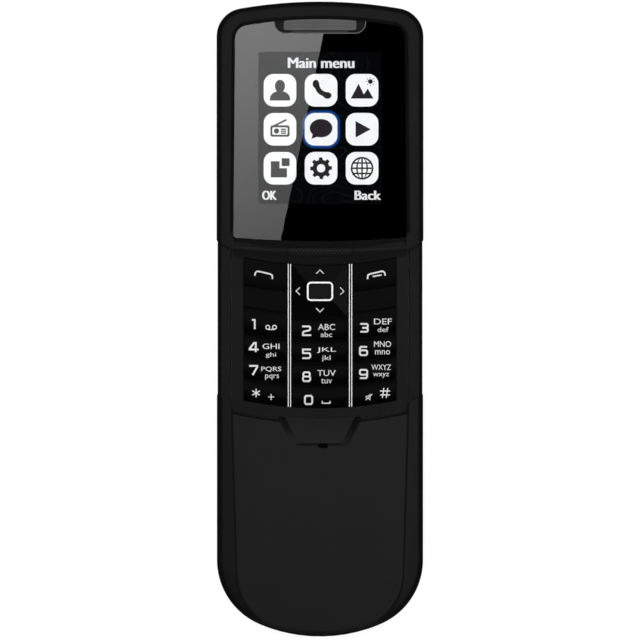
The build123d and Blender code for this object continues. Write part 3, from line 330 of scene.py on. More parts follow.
def start_material(
    name: str, kind: str = "ShaderNodeBsdfPrincipled"
) -> tuple[bpy.types.Material, Graph, bpy.types.Node]:
    """Starts a node material with one shader on its output.

    Args:
        name: the material's name.
        kind: Blender's name of the shader's node type.

    Returns:
        The material, its graph and its shader node.
    """
    material = bpy.data.materials.new(name)
    material.use_nodes = True
    material.node_tree.nodes.clear()
    graph = Graph(material.node_tree)
    shader = graph.add(kind)
    graph.add("ShaderNodeOutputMaterial", {"Surface": shader.outputs[0]})
    return material, graph, shader


def light_up(
    graph: Graph, shader: bpy.types.Node, colour: bpy.types.NodeSocket, strength: float = 1.0
) -> None:
    """Makes a Principled shader give out a colour as light and reflect nothing.

    Args:
        graph: the material's graph.
        shader: its Principled node.
        colour: the light's colour.
        strength: the light's strength.
    """
    graph.fill(
        shader,
        {
            "Emission Color": colour,
            "Emission Strength": strength,
            "Base Color": BLACK,
            "Specular IOR Level": 0.0,
        },
    )


@dataclass(frozen=True)
class Moulded:
    """Moulded or painted plastic: mottled tone, wandering sheen and a pebbled face.

    patch, smear and grain are counts per metre, and depth is the pebble's height in millimetres. polish is
    the weight of a coat on the raised faces, and raised is the heights, in millimetres, between which it
    grows from nothing. wall is how many times as light the upright and downward faces are painted, which is
    painted light rather than the plastic's own tone.
    """

    name: str
    tone: Rgb
    second_tone: Rgb
    roughness: float
    spread: float = 0.12
    patch: float = 70.0
    smear: float = 160.0
    grain: float = 5200.0
    depth: float = 0.004
    specular: float = 0.5
    polish: float = 0.0
    raised: tuple[float, float] = (0.0, 1.0)
    wall: float = 1.0

    def make(self, shop: Workshop) -> bpy.types.Material:
        """Makes the material from the shared effects.

        Args:
            shop: the shared effects.

        Returns:
            The new material.
        """
        material, graph, shader = start_material(self.name)
        colour = shop.tone.lay(graph, self.tone, self.second_tone, self.patch)
        # painted light: upright and downward faces get a colour this many times as light as the front
        if self.wall > 1.0:
            colour = shop.walls.use(graph, Colour=colour, Gain=self.wall)
        rough = shop.sheen.use(graph, Roughness=self.roughness, Spread=self.spread, Scale=self.smear)
        height = shop.grain.use(graph, Scale=self.grain)
        bump = graph.add("ShaderNodeBump", {"Height": height, "Strength": 1.0, "Distance": self.depth * MM})
        graph.fill(shader, {"Base Color": colour, "Roughness": rough, "Normal": bump.outputs[0]})
        graph.fill(shader, {"Specular IOR Level": self.specular})
        if self.polish:
            low, high = self.raised
            coat = shop.polish.use(graph, Weight=self.polish, Low=low * MM, High=high * MM)
            graph.fill(shader, {"Coat Weight": coat, "Coat Roughness": self.roughness})
        return material


@dataclass(frozen=True)
class Drawn:
    """Metal with drawn lines along the phone. The counts and the depth are as in moulded plastic."""

    name: str
    tone: Rgb
    second_tone: Rgb
    roughness: float
    metallic: float = 1.0
    spread: float = 0.1
    patch: float = 120.0
    smear: float = 260.0
    lines: float = 3000.0
    depth: float = 0.002

    def make(self, shop: Workshop) -> bpy.types.Material:
        """Makes the material from the shared effects.

        Args:
            shop: the shared effects.

        Returns:
            The new material.
        """
        material, graph, shader = start_material(self.name)
        colour = shop.tone.lay(graph, self.tone, self.second_tone, self.patch)
        rough = shop.sheen.use(graph, Roughness=self.roughness, Spread=self.spread, Scale=self.smear)
        height = shop.lines.use(graph, Scale=self.lines)
        bump = graph.add("ShaderNodeBump", {"Height": height, "Strength": 1.0, "Distance": self.depth * MM})
        graph.fill(shader, {"Base Color": colour, "Roughness": rough, "Normal": bump.outputs[0]})
        graph.fill(shader, {"Metallic": self.metallic})
        return material


@dataclass(frozen=True)
class ClearWindow:
    """Clear hard window with the faintest smear in its polish."""

    name: str
    tint: Rgb
    second_tint: Rgb
    bend: float = 1.49
    spread: float = 0.03
    patch: float = 40.0
    smear: float = 90.0

    def make(self, shop: Workshop) -> bpy.types.Material:
        """Makes the material from the shared effects.

        Args:
            shop: the shared effects.

        Returns:
            The new material.
        """
        material, graph, shader = start_material(self.name)
        colour = shop.tone.lay(graph, self.tint, self.second_tint, self.patch)
        rough = shop.sheen.use(graph, Roughness=0.0, Spread=self.spread, Scale=self.smear)
        graph.fill(shader, {"Base Color": colour, "Roughness": rough})
        graph.fill(shader, {"Transmission Weight": 1.0, "IOR": self.bend})
        return material


@dataclass(frozen=True)
class Lit:
    """A lit shape of the display: two near tones given out as light."""

    name: str
    tone: Rgb
    second_tone: Rgb
    strength: float = 1.0
    patch: float = 400.0

    def make(self, shop: Workshop) -> bpy.types.Material:
        """Makes the material from the shared effects.

        Args:
            shop: the shared effects.

        Returns:
            The new material.
        """
        material, graph, shader = start_material(self.name)
        colour = shop.tone.lay(graph, self.tone, self.second_tone, self.patch)
        light_up(graph, shader, colour, self.strength)
        return material


@dataclass(frozen=True)
class Wallpaper:
    """The display's dark ground with thin wandering contour lines of a noise.

    scale is the noise's count per metre, steps is how many lines it is counted in, and half is half a line's
    share.
    """

    name: str
    ground: Rgb
    line: Rgb
    scale: float = 160.0
    steps: float = 7.0
    half: float = 0.06

    def make(self, shop: Workshop) -> bpy.types.Material:
        """Makes the material: a line shows where the noise, counted in steps, is near a half step.

        Args:
            shop: the shared effects.

        Returns:
            The new material.
        """
        material, graph, shader = start_material(self.name)
        noise = graph.noise(graph.here(), self.scale, 0.0)
        step = graph.math("FRACT", graph.math("MULTIPLY", noise, self.steps))
        off = graph.math("ABSOLUTE", graph.math("SUBTRACT", step, 0.5))
        mask = graph.ramp(off, 0.0, self.half, 1.0, 0.0)
        light_up(graph, shader, graph.blend(mask, opaque(self.ground), opaque(self.line)))
        return material


@dataclass(frozen=True)
class Halo:
    """The ring of light round the chosen tile: the UV map's second coordinate runs outwards."""

    name: str
    inner: Rgb
    outer: Rgb
    power: float = 0.8

    def make(self, shop: Workshop) -> bpy.types.Material:
        """Makes the material: the inner colour fades to the outer one by a power of the way across the ring.

        Args:
            shop: the shared effects.

        Returns:
            The new material.
        """
        material, graph, shader = start_material(self.name)
        uv = graph.add("ShaderNodeUVMap", uv_map="across").outputs[0]
        across = graph.add("ShaderNodeSeparateXYZ", {0: uv}).outputs[1]
        fade = graph.math("POWER", across, self.power)
        light_up(graph, shader, graph.blend(fade, opaque(self.inner), opaque(self.outer)))
        return material


# Plan shapes, as arrays of triangles (count, 3 corners, 2 coordinates)


def bisected(triangles: Array, limit: float) -> Array:
    """Halves each triangle at the middle of its longest edge until no edge is longer than the limit.

    Args:
        triangles: the triangles.
        limit: the longest edge allowed, in millimetres.

    Returns:
        The finer triangles.
    """
    while True:
        edges = np.linalg.norm(np.roll(triangles, -1, axis=1) - triangles, axis=2)
        long = edges.max(axis=1) > limit
        if not long.any():
            return triangles
        order = (edges[long].argmax(axis=1)[:, None] + np.arange(3)) % 3
        turned = np.take_along_axis(triangles[long], order[:, :, None], axis=1)
        first, second, third = turned[:, 0], turned[:, 1], turned[:, 2]
        middle = (first + second) / 2
        halves = [np.stack((first, middle, third), axis=1), np.stack((middle, second, third), axis=1)]
        triangles = np.concatenate([triangles[~long], *halves])


def corners_of(box: Box) -> Plan:
    """The four corners of a box in plan, anticlockwise from its lowest X and Y."""
    left, right, low, high = box
    return [(left, low), (right, low), (right, high), (left, high)]


def fan(outline: Array) -> Array:
    """Fills an outline that its own middle can see: one triangle from each edge to the mean point."""
    middle = np.broadcast_to(outline.mean(axis=0), outline.shape)
    return np.stack((outline, np.roll(outline, -1, axis=0), middle), axis=1)


def hoop(outer: Array, inner: Array) -> Array:
    """Fills the band between two outlines of equal count: each pair of edges is two triangles.

    Args:
        outer: the outer outline.
        inner: the inner outline.

    Returns:
        The triangles.
    """
    outer_next, inner_next = np.roll(outer, -1, axis=0), np.roll(inner, -1, axis=0)
    return np.concatenate(
        [np.stack((outer, outer_next, inner_next), axis=1), np.stack((outer, inner_next, inner), axis=1)]
    )


def oval(x: float, y: float, rx: float, ry: float, steps: int = 40) -> Array:
    """An ellipse's outline: the middle plus the two radii times cosine and sine."""
    turn = np.linspace(0.0, 2 * math.pi, steps, endpoint=False)
    return np.column_stack((x + rx * np.cos(turn), y + ry * np.sin(turn)))


def rounded(box: Box, radius: float, steps: int = 8) -> Array:
    """A rectangle's outline with round corners.

    Each corner is a quarter turn of the radius about a point set in by the radius from both sides.

    Args:
        box: lowest and highest X, then lowest and highest Y.
        radius: the corners' radius.
        steps: points in each corner.

    Returns:
        The outline's points.
    """
    left, right, low, high = box
    quarter = np.linspace(0.0, math.pi / 2, steps)
    turn = np.concatenate([quarter + k * math.pi / 2 for k in range(4)])
    inwards = np.array([(-1, -1), (1, -1), (1, 1), (-1, 1)])
    ends = np.array([(right, high), (left, high), (left, low), (right, low)]) + radius * inwards
    return np.repeat(ends, steps, axis=0) + radius * np.column_stack((np.cos(turn), np.sin(turn)))


def stroke(points: Plan, width: float, closed: bool = False) -> Array:
    """A line of even width along points: each point is set off both ways along the mitre of its two edges.

    Args:
        points: the line's corners.
        width: the line's width.
        closed: whether the last point joins the first.

    Returns:
        The triangles.
    """
    line = np.asarray(points, dtype=float)
    ahead = np.roll(line, -1, axis=0) - line
    ahead /= np.linalg.norm(ahead, axis=1, keepdims=True)
    behind = np.roll(ahead, 1, axis=0)
    if not closed:
        ahead[-1], behind[0] = behind[-1], ahead[0]
    normal = np.column_stack((-(ahead + behind)[:, 1], (ahead + behind)[:, 0]))
    normal /= np.linalg.norm(normal, axis=1, keepdims=True)
    reach = np.sum(normal * np.column_stack((-ahead[:, 1], ahead[:, 0])), axis=1, keepdims=True)
    off = normal * (width / 2) / np.maximum(reach, SHARPEST_MITRE)
    sides = hoop(line - off, line + off)
    if closed:
        return sides
    count = len(line)
    keep = np.arange(2 * count) % count != count - 1
    return sides[keep]


def lettering(text: str, box: Box) -> Array:
    """Plain characters filled and fitted to a box.

    Args:
        text: the characters.
        box: lowest and highest X, then lowest and highest Y that they fill.

    Returns:
        The triangles.
    """
    curve = bpy.data.curves.new("letters", "FONT")
    curve.body = text
    curve.resolution_u = 3
    curve.fill_mode = "FRONT"
    holder = bpy.data.objects.new("letters", curve)
    bpy.context.scene.collection.objects.link(holder)
    bpy.context.view_layer.update()
    mesh = bpy.data.meshes.new_from_object(holder.evaluated_get(bpy.context.evaluated_depsgraph_get()))
    mesh.calc_loop_triangles()
    points = np.empty(len(mesh.vertices) * 3)
    mesh.vertices.foreach_get("co", points)
    corners = np.empty(len(mesh.loop_triangles) * 3, dtype=np.int64)
    mesh.loop_triangles.foreach_get("vertices", corners)
    bpy.data.objects.remove(holder)
    bpy.data.curves.remove(curve)
    bpy.data.meshes.remove(mesh)
    plan = points.reshape(-1, 3)[:, :2]
    low, high = plan.min(axis=0), plan.max(axis=0)
    start, end = np.array(box)[[0, 2]], np.array(box)[[1, 3]]
    fitted = start + (plan - low) / (high - low) * (end - start)
    return fitted[corners.reshape(-1, 3)]


# Each digit's lines over a box of one by one: whether the line is closed, and its corners.
FIGURES: dict[str, tuple[tuple[bool, tuple[tuple[float, float], ...]], ...]] = {
    "0": (
        (True, ((0.0, 0.15), (0.15, 0.0), (0.85, 0.0), (1.0, 0.15), (1.0, 0.85), (0.85, 1.0), (0.15, 1.0),
                (0.0, 0.85))),
    ),
    "1": ((False, ((0.0, 1.0), (0.85, 1.0), (0.85, -0.12))),),
    "2": (
        (False, ((-0.1, 1.0), (0.85, 1.0), (1.0, 0.88), (1.0, 0.66), (0.85, 0.54), (0.15, 0.42), (0.0, 0.3),
                 (0.0, 0.0), (1.12, 0.0))),
    ),
    "3": (
        (False, ((-0.1, 1.0), (0.85, 1.0), (1.0, 0.88), (1.0, 0.62), (0.85, 0.5), (0.2, 0.5))),
        (False, ((0.8, 0.5), (1.0, 0.38), (1.0, 0.12), (0.85, 0.0), (-0.1, 0.0))),
    ),
    "4": ((False, ((0.76, -0.12), (0.76, 1.0), (0.56, 1.0), (0.02, 0.3), (0.02, 0.2), (1.12, 0.2))),),
    "5": (
        (False, ((1.1, 1.0), (0.0, 1.0), (0.0, 0.58), (0.85, 0.58), (1.0, 0.46), (1.0, 0.12), (0.85, 0.0),
                 (-0.1, 0.0))),
    ),
    "6": (
        (False, ((1.0, 1.0), (0.15, 1.0), (0.0, 0.85), (0.0, 0.4))),
        (True, ((0.0, 0.15), (0.15, 0.0), (0.85, 0.0), (1.0, 0.12), (1.0, 0.46), (0.85, 0.58), (0.15, 0.58),
                (0.0, 0.46))),
    ),
    "7": ((False, ((-0.1, 1.0), (1.0, 1.0), (1.0, 0.86), (0.36, -0.12))),),
    "8": (
        (True, ((0.0, 0.12), (0.15, 0.0), (0.85, 0.0), (1.0, 0.12), (1.0, 0.4), (0.85, 0.52), (0.15, 0.52),
                (0.0, 0.4))),
        (True, ((0.06, 0.64), (0.2, 0.52), (0.8, 0.52), (0.94, 0.64), (0.94, 0.88), (0.8, 1.0), (0.2, 1.0),
                (0.06, 0.88))),
    ),
    "9": (
        (False, ((0.0, 0.0), (0.85, 0.0), (1.0, 0.15), (1.0, 0.6))),
        (True, ((0.0, 0.54), (0.15, 0.42), (0.85, 0.42), (1.0, 0.54), (1.0, 0.88), (0.85, 1.0), (0.15, 1.0),
                (0.0, 0.88))),
    ),
}


def figure(digit: str, box: Box, width: float) -> Array:
    """A square-shouldered digit: even lines through its corners, which fill the box less half a line.

    Args:
        digit: which of the ten digits.
        box: lowest and highest X, then lowest and highest Y that it fills.
        width: the lines' width.

    Returns:
        The triangles.
    """
    start = np.array(box)[[0, 2]] + width / 2
    span = np.array(box)[[1, 3]] - width / 2 - start
    lines = [
        stroke((start + np.array(points) * span).tolist(), width, closed)
        for closed, points in FIGURES[digit]
    ]
    return np.concatenate(lines)


# Meshes


def add_piece(
    name: str,
    points: Array,
    faces: Array,
    material: bpy.types.Material,
    body: str,
    smooth: bool = False,
) -> bpy.types.Object:
    """Puts a mesh into the scene, dresses it and lets it ride on a body.

    Args:
        name: the piece's name.
        points: corner places in millimetres.
        faces: corner numbers of each face.
        material: its finish.
        body: the CAD body that carries it.
        smooth: whether its faces are shaded smooth.

    Returns:
        The new object.
    """
    mesh = bpy.data.meshes.new(name)
    mesh.from_pydata((points * MM).tolist(), [], faces.tolist())
    mesh.polygons.foreach_set("use_smooth", np.full(len(faces), smooth))
    mesh.materials.append(material)
    piece = bpy.data.objects.new(name, mesh)
    bpy.context.scene.collection.objects.link(piece)
    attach(piece, body)
    LOG.info("%s: %d faces, rides on %s", name, len(faces), body)
    return piece


@dataclass(frozen=True)
class Level:
    """A flat surface at a height."""

    height: float

    def __call__(self, x: Array, y: Array) -> Array:
        """The same height over every place in plan."""
        return np.full_like(x, self.height)


@dataclass
class Print:
    """Flat shapes gathered in plan, then laid on a surface as one thin film."""

    name: str
    finish: bpy.types.Material
    body: str
    slot: Slot
    patches: list[Array] = field(default_factory=list)

    def add(self, *patches: Array) -> Print:
        """Adds patches of triangles and returns the print."""
        self.patches.extend(patches)
        return self

    def lay(self, surface: Surface, lift: float, finest: float = 50.0) -> bpy.types.Object:
        """Lays the film: each corner's height is the surface's height there plus the lift.

        Args:
            surface: height over plan.
            lift: how far the film stands off the surface.
            finest: the longest edge, so that the film follows a curve.

        Returns:
            The piece.
        """
        triangles = bisected(np.concatenate(self.patches), finest)
        one, two, three = triangles[:, 0], triangles[:, 1], triangles[:, 2]
        area = (two - one)[:, 0] * (three - one)[:, 1] - (two - one)[:, 1] * (three - one)[:, 0]
        whole = np.abs(area) > SLIVER
        triangles, area = triangles[whole], area[whole]
        triangles[area < 0] = triangles[area < 0][:, ::-1]
        plan, corners = np.unique(triangles.reshape(-1, 2).round(6), axis=0, return_inverse=True)
        points = np.column_stack((plan, surface(plan[:, 0], plan[:, 1]) + lift))
        faces = corners.reshape(-1, 3)
        distinct = (faces != np.roll(faces, 1, axis=1)).all(axis=1)
        return add_piece(self.name, points, faces[distinct], self.finish, self.body)


# Sub-assemblies


@dataclass
class Display:
    """The lit picture behind the window, and a painted highlight on the window's edge round the notch."""

    shop: Workshop
    picture: Box = (-14.1, 14.1, 26.4, 61.2)
    face: float = 14.96
    columns: tuple[float, ...] = (-9.17, 0.24, 9.64)
    rows: tuple[float, ...] = (52.46, 43.52, 34.59)
    tile: float = 7.47
    tile_corner: float = 2.25
    glow_width: float = 0.8
    glow_tuck: float = 0.12
    glow_lift: float = 0.01
    glow_rings: int = 7
    tile_lift: float = 0.02
    sign_lift: float = 0.03
    finest: float = 8.0
    bolder: float = 0.13
    heading: Box = (-7.4, 7.9, 57.55, 59.95)
    left_label: Box = (-13.3, -9.9, 27.35, 29.45)
    right_label: Box = (7.9, 14.0, 27.35, 29.45)
    notch_half: float = 10.45
    notch_low: float = 65.5
    notch_corner: float = 2.4
    notch_steps: int = 10
    notch_width: float = 0.2
    notch_lift: float = 0.012
    window_top: float = 68.7
    glass_top: float = 16.0

    def tile_box(self, column: int, row: int, grow: float = 0.0) -> Box:
        """The box of one tile, grown by a margin."""
        x, y, half = self.columns[column], self.rows[row], self.tile / 2 + grow
        return (x - half, x + half, y - half, y + half)

    def film(self, name: str, finish: Lit | Wallpaper) -> Print:
        """Starts a print of the display in a finish."""
        return Print(name, finish.make(self.shop), Body.UPPER.value, Slot.DISPLAY)

    def ground(self) -> None:
        """Lays the dark ground over the picture area."""
        finish = Wallpaper("screen_ground", (0.0022, 0.0024, 0.0030), (0.010, 0.011, 0.013))
        film = self.film("screen_ground", finish)
        film.add(fan(np.array(corners_of(self.picture)))).lay(Level(self.face), 0.0, self.finest)

    def tiles(self) -> None:
        """Lays the nine light tiles."""
        film = self.film("screen_tiles", Lit("screen_white", (1.0, 1.0, 1.0), (0.95, 0.96, 0.98), 1.15))
        for row in range(3):
            for column in range(3):
                film.add(fan(rounded(self.tile_box(column, row), self.tile_corner)))
        film.lay(Level(self.face), self.tile_lift)

    def glow(self) -> None:
        """Lays the ring of light round the middle tile: a grid of outlines from the tile outwards."""
        steps = np.linspace(0.0, 1.0, self.glow_rings)
        grown = -self.glow_tuck + steps * (self.glow_width + self.glow_tuck)
        rings = np.stack([rounded(self.tile_box(1, 1, grow), self.tile_corner + grow) for grow in grown])
        count, around = rings.shape[:2]
        points = np.column_stack((rings.reshape(-1, 2), np.full(count * around, self.face + self.glow_lift)))
        ring, at = np.meshgrid(np.arange(count - 1), np.arange(around), indexing="ij")
        here, ahead = ring * around + at, ring * around + (at + 1) % around
        faces = np.stack((here, here + around, ahead + around, ahead), axis=-1).reshape(-1, 4)
        finish = Halo("screen_glow", (0.02, 0.13, 0.55), (0.002, 0.004, 0.010)).make(self.shop)
        piece = add_piece("screen_glow", points, faces, finish, Body.UPPER.value)
        corner = np.empty(len(piece.data.loops), dtype=np.int64)
        piece.data.loops.foreach_get("vertex_index", corner)
        across = np.repeat(steps, around)[corner]
        along = np.tile(np.linspace(0.0, 1.0, around), count)[corner]
        layer = piece.data.uv_layers.new(name="across")
        layer.data.foreach_set("uv", np.column_stack((along, across)).ravel())

    def glyphs(self) -> None:
        """Lays a plain dark sign on each tile, drawn about the tile's middle."""
        signs = {
            (0, 0): self.sign_person(),
            (1, 0): self.sign_handset(),
            (2, 0): self.sign_hills(),
            (0, 1): self.sign_radio(),
            (1, 1): self.sign_bubble(),
            (2, 1): [fan(np.array([(-1.5, -1.9), (2.0, 0.0), (-1.5, 1.9)]))],
            (0, 2): self.sign_squares(),
            (1, 2): self.sign_gear(),
            (2, 2): self.sign_globe(),
        }
        film = self.film("screen_signs", Lit("screen_sign", (0.032, 0.027, 0.030), (0.027, 0.023, 0.026)))
        for (column, row), patches in signs.items():
            film.add(*[patch + np.array((self.columns[column], self.rows[row])) for patch in patches])
        film.lay(Level(self.face), self.sign_lift)

    def sign_person(self) -> list[Array]:
        """A head and shoulders: an oval over a half oval.

        Returns:
            The sign's triangles.
        """
        turn = np.linspace(0.0, math.pi, 24)
        shoulders = np.column_stack((2.35 * np.cos(turn), -2.35 + 2.2 * np.sin(turn) ** 0.8))
        return [fan(oval(0.0, 0.95, 1.15, 1.45)), fan(shoulders)]

    def sign_handset(self) -> list[Array]:
        """A telephone handset: a thick arc with a pad at each end.

        Returns:
            The sign's triangles.
        """
        turn = np.linspace(math.radians(175), math.radians(275), 18)
        arc = np.column_stack((1.55 + 2.55 * np.cos(turn), 1.55 + 2.55 * np.sin(turn)))
        pads = [oval(-1.2, 1.45, 0.75, 0.95, 20), oval(1.45, -1.2, 0.95, 0.75, 20)]
        return [stroke(arc.tolist(), 1.15), *[fan(pad) for pad in pads]]

    def sign_hills(self) -> list[Array]:
        """Two hills and a sun.

        Returns:
            The sign's triangles.
        """
        near = np.array([(-2.6, -1.9), (0.9, -1.9), (-0.8, 1.5)])
        far = np.array([(-0.2, -1.9), (2.6, -1.9), (1.3, 0.4)])
        turn = np.arange(8) * math.pi / 4
        rays = [
            stroke([(1.9 + 0.75 * c, 2.0 + 0.75 * s), (1.9 + 1.0 * c, 2.0 + 1.0 * s)], 0.2)
            for c, s in zip(np.cos(turn), np.sin(turn))
        ]
        return [fan(near), fan(far), fan(oval(1.9, 2.0, 0.55, 0.55, 20)), *rays]

    def sign_radio(self) -> list[Array]:
        """A small radio: a case, a dial and an aerial.

        Returns:
            The sign's triangles.
        """
        case = hoop(rounded((-2.2, 2.2, -1.7, 0.9), 0.5), rounded((-1.75, 1.75, -1.25, 0.45), 0.25))
        aerial = stroke([(-1.3, 0.8), (1.5, 2.2)], 0.4)
        bars = [stroke([(0.2, y), (1.4, y)], 0.3) for y in (0.0, -0.45, -0.9)]
        return [case, aerial, fan(oval(-0.8, -0.4, 0.6, 0.6, 24)), *bars]

    def sign_bubble(self) -> list[Array]:
        """A speech bubble: an oval with a tail."""
        tail = np.array([(-2.2, -2.2), (-0.3, -1.5), (-1.7, -0.4)])
        return [fan(oval(0.0, 0.25, 2.6, 2.1)), fan(tail)]

    def sign_squares(self) -> list[Array]:
        """A large square with a small one at its corner.

        Returns:
            The sign's triangles.
        """
        large = np.array([(-2.1, -2.1), (1.6, -2.1), (1.6, 0.0), (-0.1, 0.0), (-0.1, 1.6), (-2.1, 1.6)])
        small = rounded((0.4, 2.2, 0.5, 2.3), 0.15, 3)
        return [fan(large), fan(small)]

    def sign_gear(self) -> list[Array]:
        """A gear: a ring whose outer radius steps in and out eight times round.

        Returns:
            The sign's triangles.
        """
        turn = np.linspace(0.0, 2 * math.pi, 96, endpoint=False)
        radius = np.where(np.cos(8 * turn) > 0.0, 2.5, 1.95)
        outer = np.column_stack((radius * np.cos(turn), radius * np.sin(turn)))
        return [hoop(outer, oval(0.0, 0.0, 0.95, 0.95, 96))]

    def sign_globe(self) -> list[Array]:
        """A globe: a ring with meridians and parallels.

        Returns:
            The sign's triangles.
        """
        ring = hoop(oval(0.0, 0.0, 2.6, 2.6), oval(0.0, 0.0, 2.2, 2.2))
        meridian = hoop(oval(0.0, 0.0, 1.35, 2.4), oval(0.0, 0.0, 1.0, 2.4))
        lines = [stroke([(-w, y), (w, y)], 0.36) for w, y in ((2.3, 0.0), (1.9, 1.2), (1.9, -1.2))]
        return [ring, meridian, stroke([(0.0, -2.4), (0.0, 2.4)], 0.36), *lines]

    def bold(self, text: str, box: Box) -> list[Array]:
        """The characters three times, each a step further along, so that their stems come out wider.

        Args:
            text: the characters.
            box: lowest and highest X, then lowest and highest Y that they fill.

        Returns:
            The triangles of the three layers.
        """
        left, right, low, high = box
        once = lettering(text, (left, right - 2 * self.bolder, low, high))
        return [once + np.array((step * self.bolder, 0.0)) for step in range(3)]

    def words(self) -> None:
        """Lays the plain heading and the two soft key labels."""
        film = self.film("screen_words", Lit("screen_letter", (0.96, 0.96, 0.97), (0.9, 0.9, 0.92)))
        film.add(
            *self.bold("Main menu", self.heading),
            *self.bold("OK", self.left_label),
            *self.bold("Back", self.right_label),
        )
        film.lay(Level(self.face), self.sign_lift)

    def notch_highlight(self) -> None:
        """Lays a painted highlight: a fine light line where the window's edge round the earpiece notch
        catches light.
        """
        turn = np.linspace(math.pi, 1.5 * math.pi, self.notch_steps)
        inset, low, radius = self.notch_half - self.notch_corner, self.notch_low, self.notch_corner
        left = np.column_stack((-inset + radius * np.cos(turn), low + radius + radius * np.sin(turn)))
        right = left[::-1] * np.array((-1.0, 1.0))
        start, end = (-self.notch_half, self.window_top), (self.notch_half, self.window_top)
        path = [start, *left.tolist(), *right.tolist(), end]
        # grey film on the glass: painted highlight of the notch edge's bevel
        finish = Moulded("notch_highlight", (0.10, 0.10, 0.105), (0.075, 0.075, 0.08), 0.35).make(self.shop)
        film = Print("notch_highlight", finish, Body.UPPER.value, Slot.TRIM).add(stroke(path, self.notch_width))
        film.lay(Level(self.glass_top), self.notch_lift)

    def build(self) -> None:
        """Builds every piece of the display."""
        self.ground()
        self.glow()
        self.tiles()
        self.glyphs()
        self.words()
        self.notch_highlight()


@dataclass(frozen=True)
class Crown:
    """The top of a key: an arc across the row, carried round the bow that all rows share.

    The height falls from the top by the arc's sag at the distance from the crest line, which is a circle of
    the bow's radius about a point above the row.
    """

    crest: float
    depth: float
    rise: float
    top: float = 12.75
    bow: float = 87.2

    def __call__(self, x: Array, y: Array) -> Array:
        """Height of the key's top over a place in plan.

        Args:
            x: X of each place, in millimetres.
            y: Y of each place, in millimetres.

        Returns:
            The height at each place.
        """
        radius = (self.depth / 2) ** 2 / (2 * self.rise) + self.rise / 2
        off = np.hypot(x, y - (self.crest + self.bow)) - self.bow
        return self.top - radius + np.sqrt(radius**2 - off**2)


@dataclass(frozen=True)
class Facets:
    """The navigation key's four slopes: each falls evenly from the ring's edge to the cell's edge."""

    middle: float = 6.4
    ring: tuple[float, float] = (3.05, 2.25)
    cell: tuple[float, float] = (6.46, 6.1)
    top: float = 12.75
    drop: float = 0.42

    def __call__(self, x: Array, y: Array) -> Array:
        """Height of the slopes over a place in plan.

        Args:
            x: X of each place, in millimetres.
            y: Y of each place, in millimetres.

        Returns:
            The height at each place.
        """
        across = (np.abs(x) - self.ring[0]) / (self.cell[0] - self.ring[0])
        along = (np.abs(y - self.middle) - self.ring[1]) / (self.cell[1] - self.ring[1])
        return self.top - self.drop * np.clip(np.maximum(across, along), 0.0, 1.0)


@dataclass(frozen=True)
class Legend:
    """What is printed on one key: its figure, two lines of letters, and where each sits."""

    key: str
    row: int
    figure: str = ""
    figure_box: Box = (0.0, 0.0, 0.0, 0.0)
    upper: str = ""
    upper_box: Box = (0.0, 0.0, 0.0, 0.0)
    lower: str = ""
    lower_box: Box = (0.0, 0.0, 0.0, 0.0)


LEGENDS: tuple[Legend, ...] = (
    Legend("key_1", 0, "1", (-15.83, -14.68, -2.25, 0.05)),
    Legend(
        "key_2", 0, "2", (-4.12, -2.05, -3.86, -1.45),
        "ABC", (-0.45, 3.46, -2.48, -1.1), "abc", (0.15, 2.77, -4.09, -2.94),
    ),
    Legend(
        "key_3", 0, "3", (9.2, 11.17, -3.08, -0.87),
        "DEF", (12.4, 16.5, -1.19, 0.14), "def", (13.24, 15.76, -2.94, -1.79),
    ),
    Legend(
        "key_4", 1, "4", (-16.4, -14.1, -7.53, -5.23),
        "GHI", (-13.2, -9.3, -6.84, -5.6), "ghi", (-12.48, -10.09, -8.91, -7.6),
    ),
    Legend(
        "key_5", 1, "5", (-4.12, -2.05, -9.14, -6.75),
        "JKL", (-0.7, 3.7, -7.76, -6.45), "jkl", (0.4, 2.42, -9.74, -8.3),
    ),
    Legend(
        "key_6", 1, "6", (8.97, 11.03, -8.45, -6.15),
        "MNO", (12.41, 16.32, -6.38, -5.05), "mno", (12.64, 16.09, -8.1, -7.1),
    ),
    Legend(
        "key_7", 2, "7", (-16.29, -14.22, -12.81, -10.52),
        "PQRS", (-13.5, -8.9, -12.12, -10.9), "pqrs", (-12.61, -9.4, -13.96, -12.7),
    ),
    Legend(
        "key_8", 2, "8", (-4.12, -2.05, -14.42, -12.0),
        "TUV", (-0.6, 3.6, -13.04, -11.7), "tuv", (0.24, 2.77, -14.76, -13.64),
    ),
    Legend(
        "key_9", 2, "9", (8.97, 11.03, -13.73, -11.43),
        "WXYZ", (11.8, 16.3, -11.66, -10.4), "wxyz", (12.18, 15.86, -13.5, -12.35),
    ),
    Legend("key_star", 3),
    Legend("key_0", 3, "0", (-3.66, -1.59, -19.7, -17.4)),
    Legend("key_hash", 3),
)


def ring_mark(x: float, y: float) -> Array:
    """A small ring: the band between two circles."""
    return hoop(oval(x, y, 0.55, 0.55, 24), oval(x, y, 0.33, 0.33, 24))


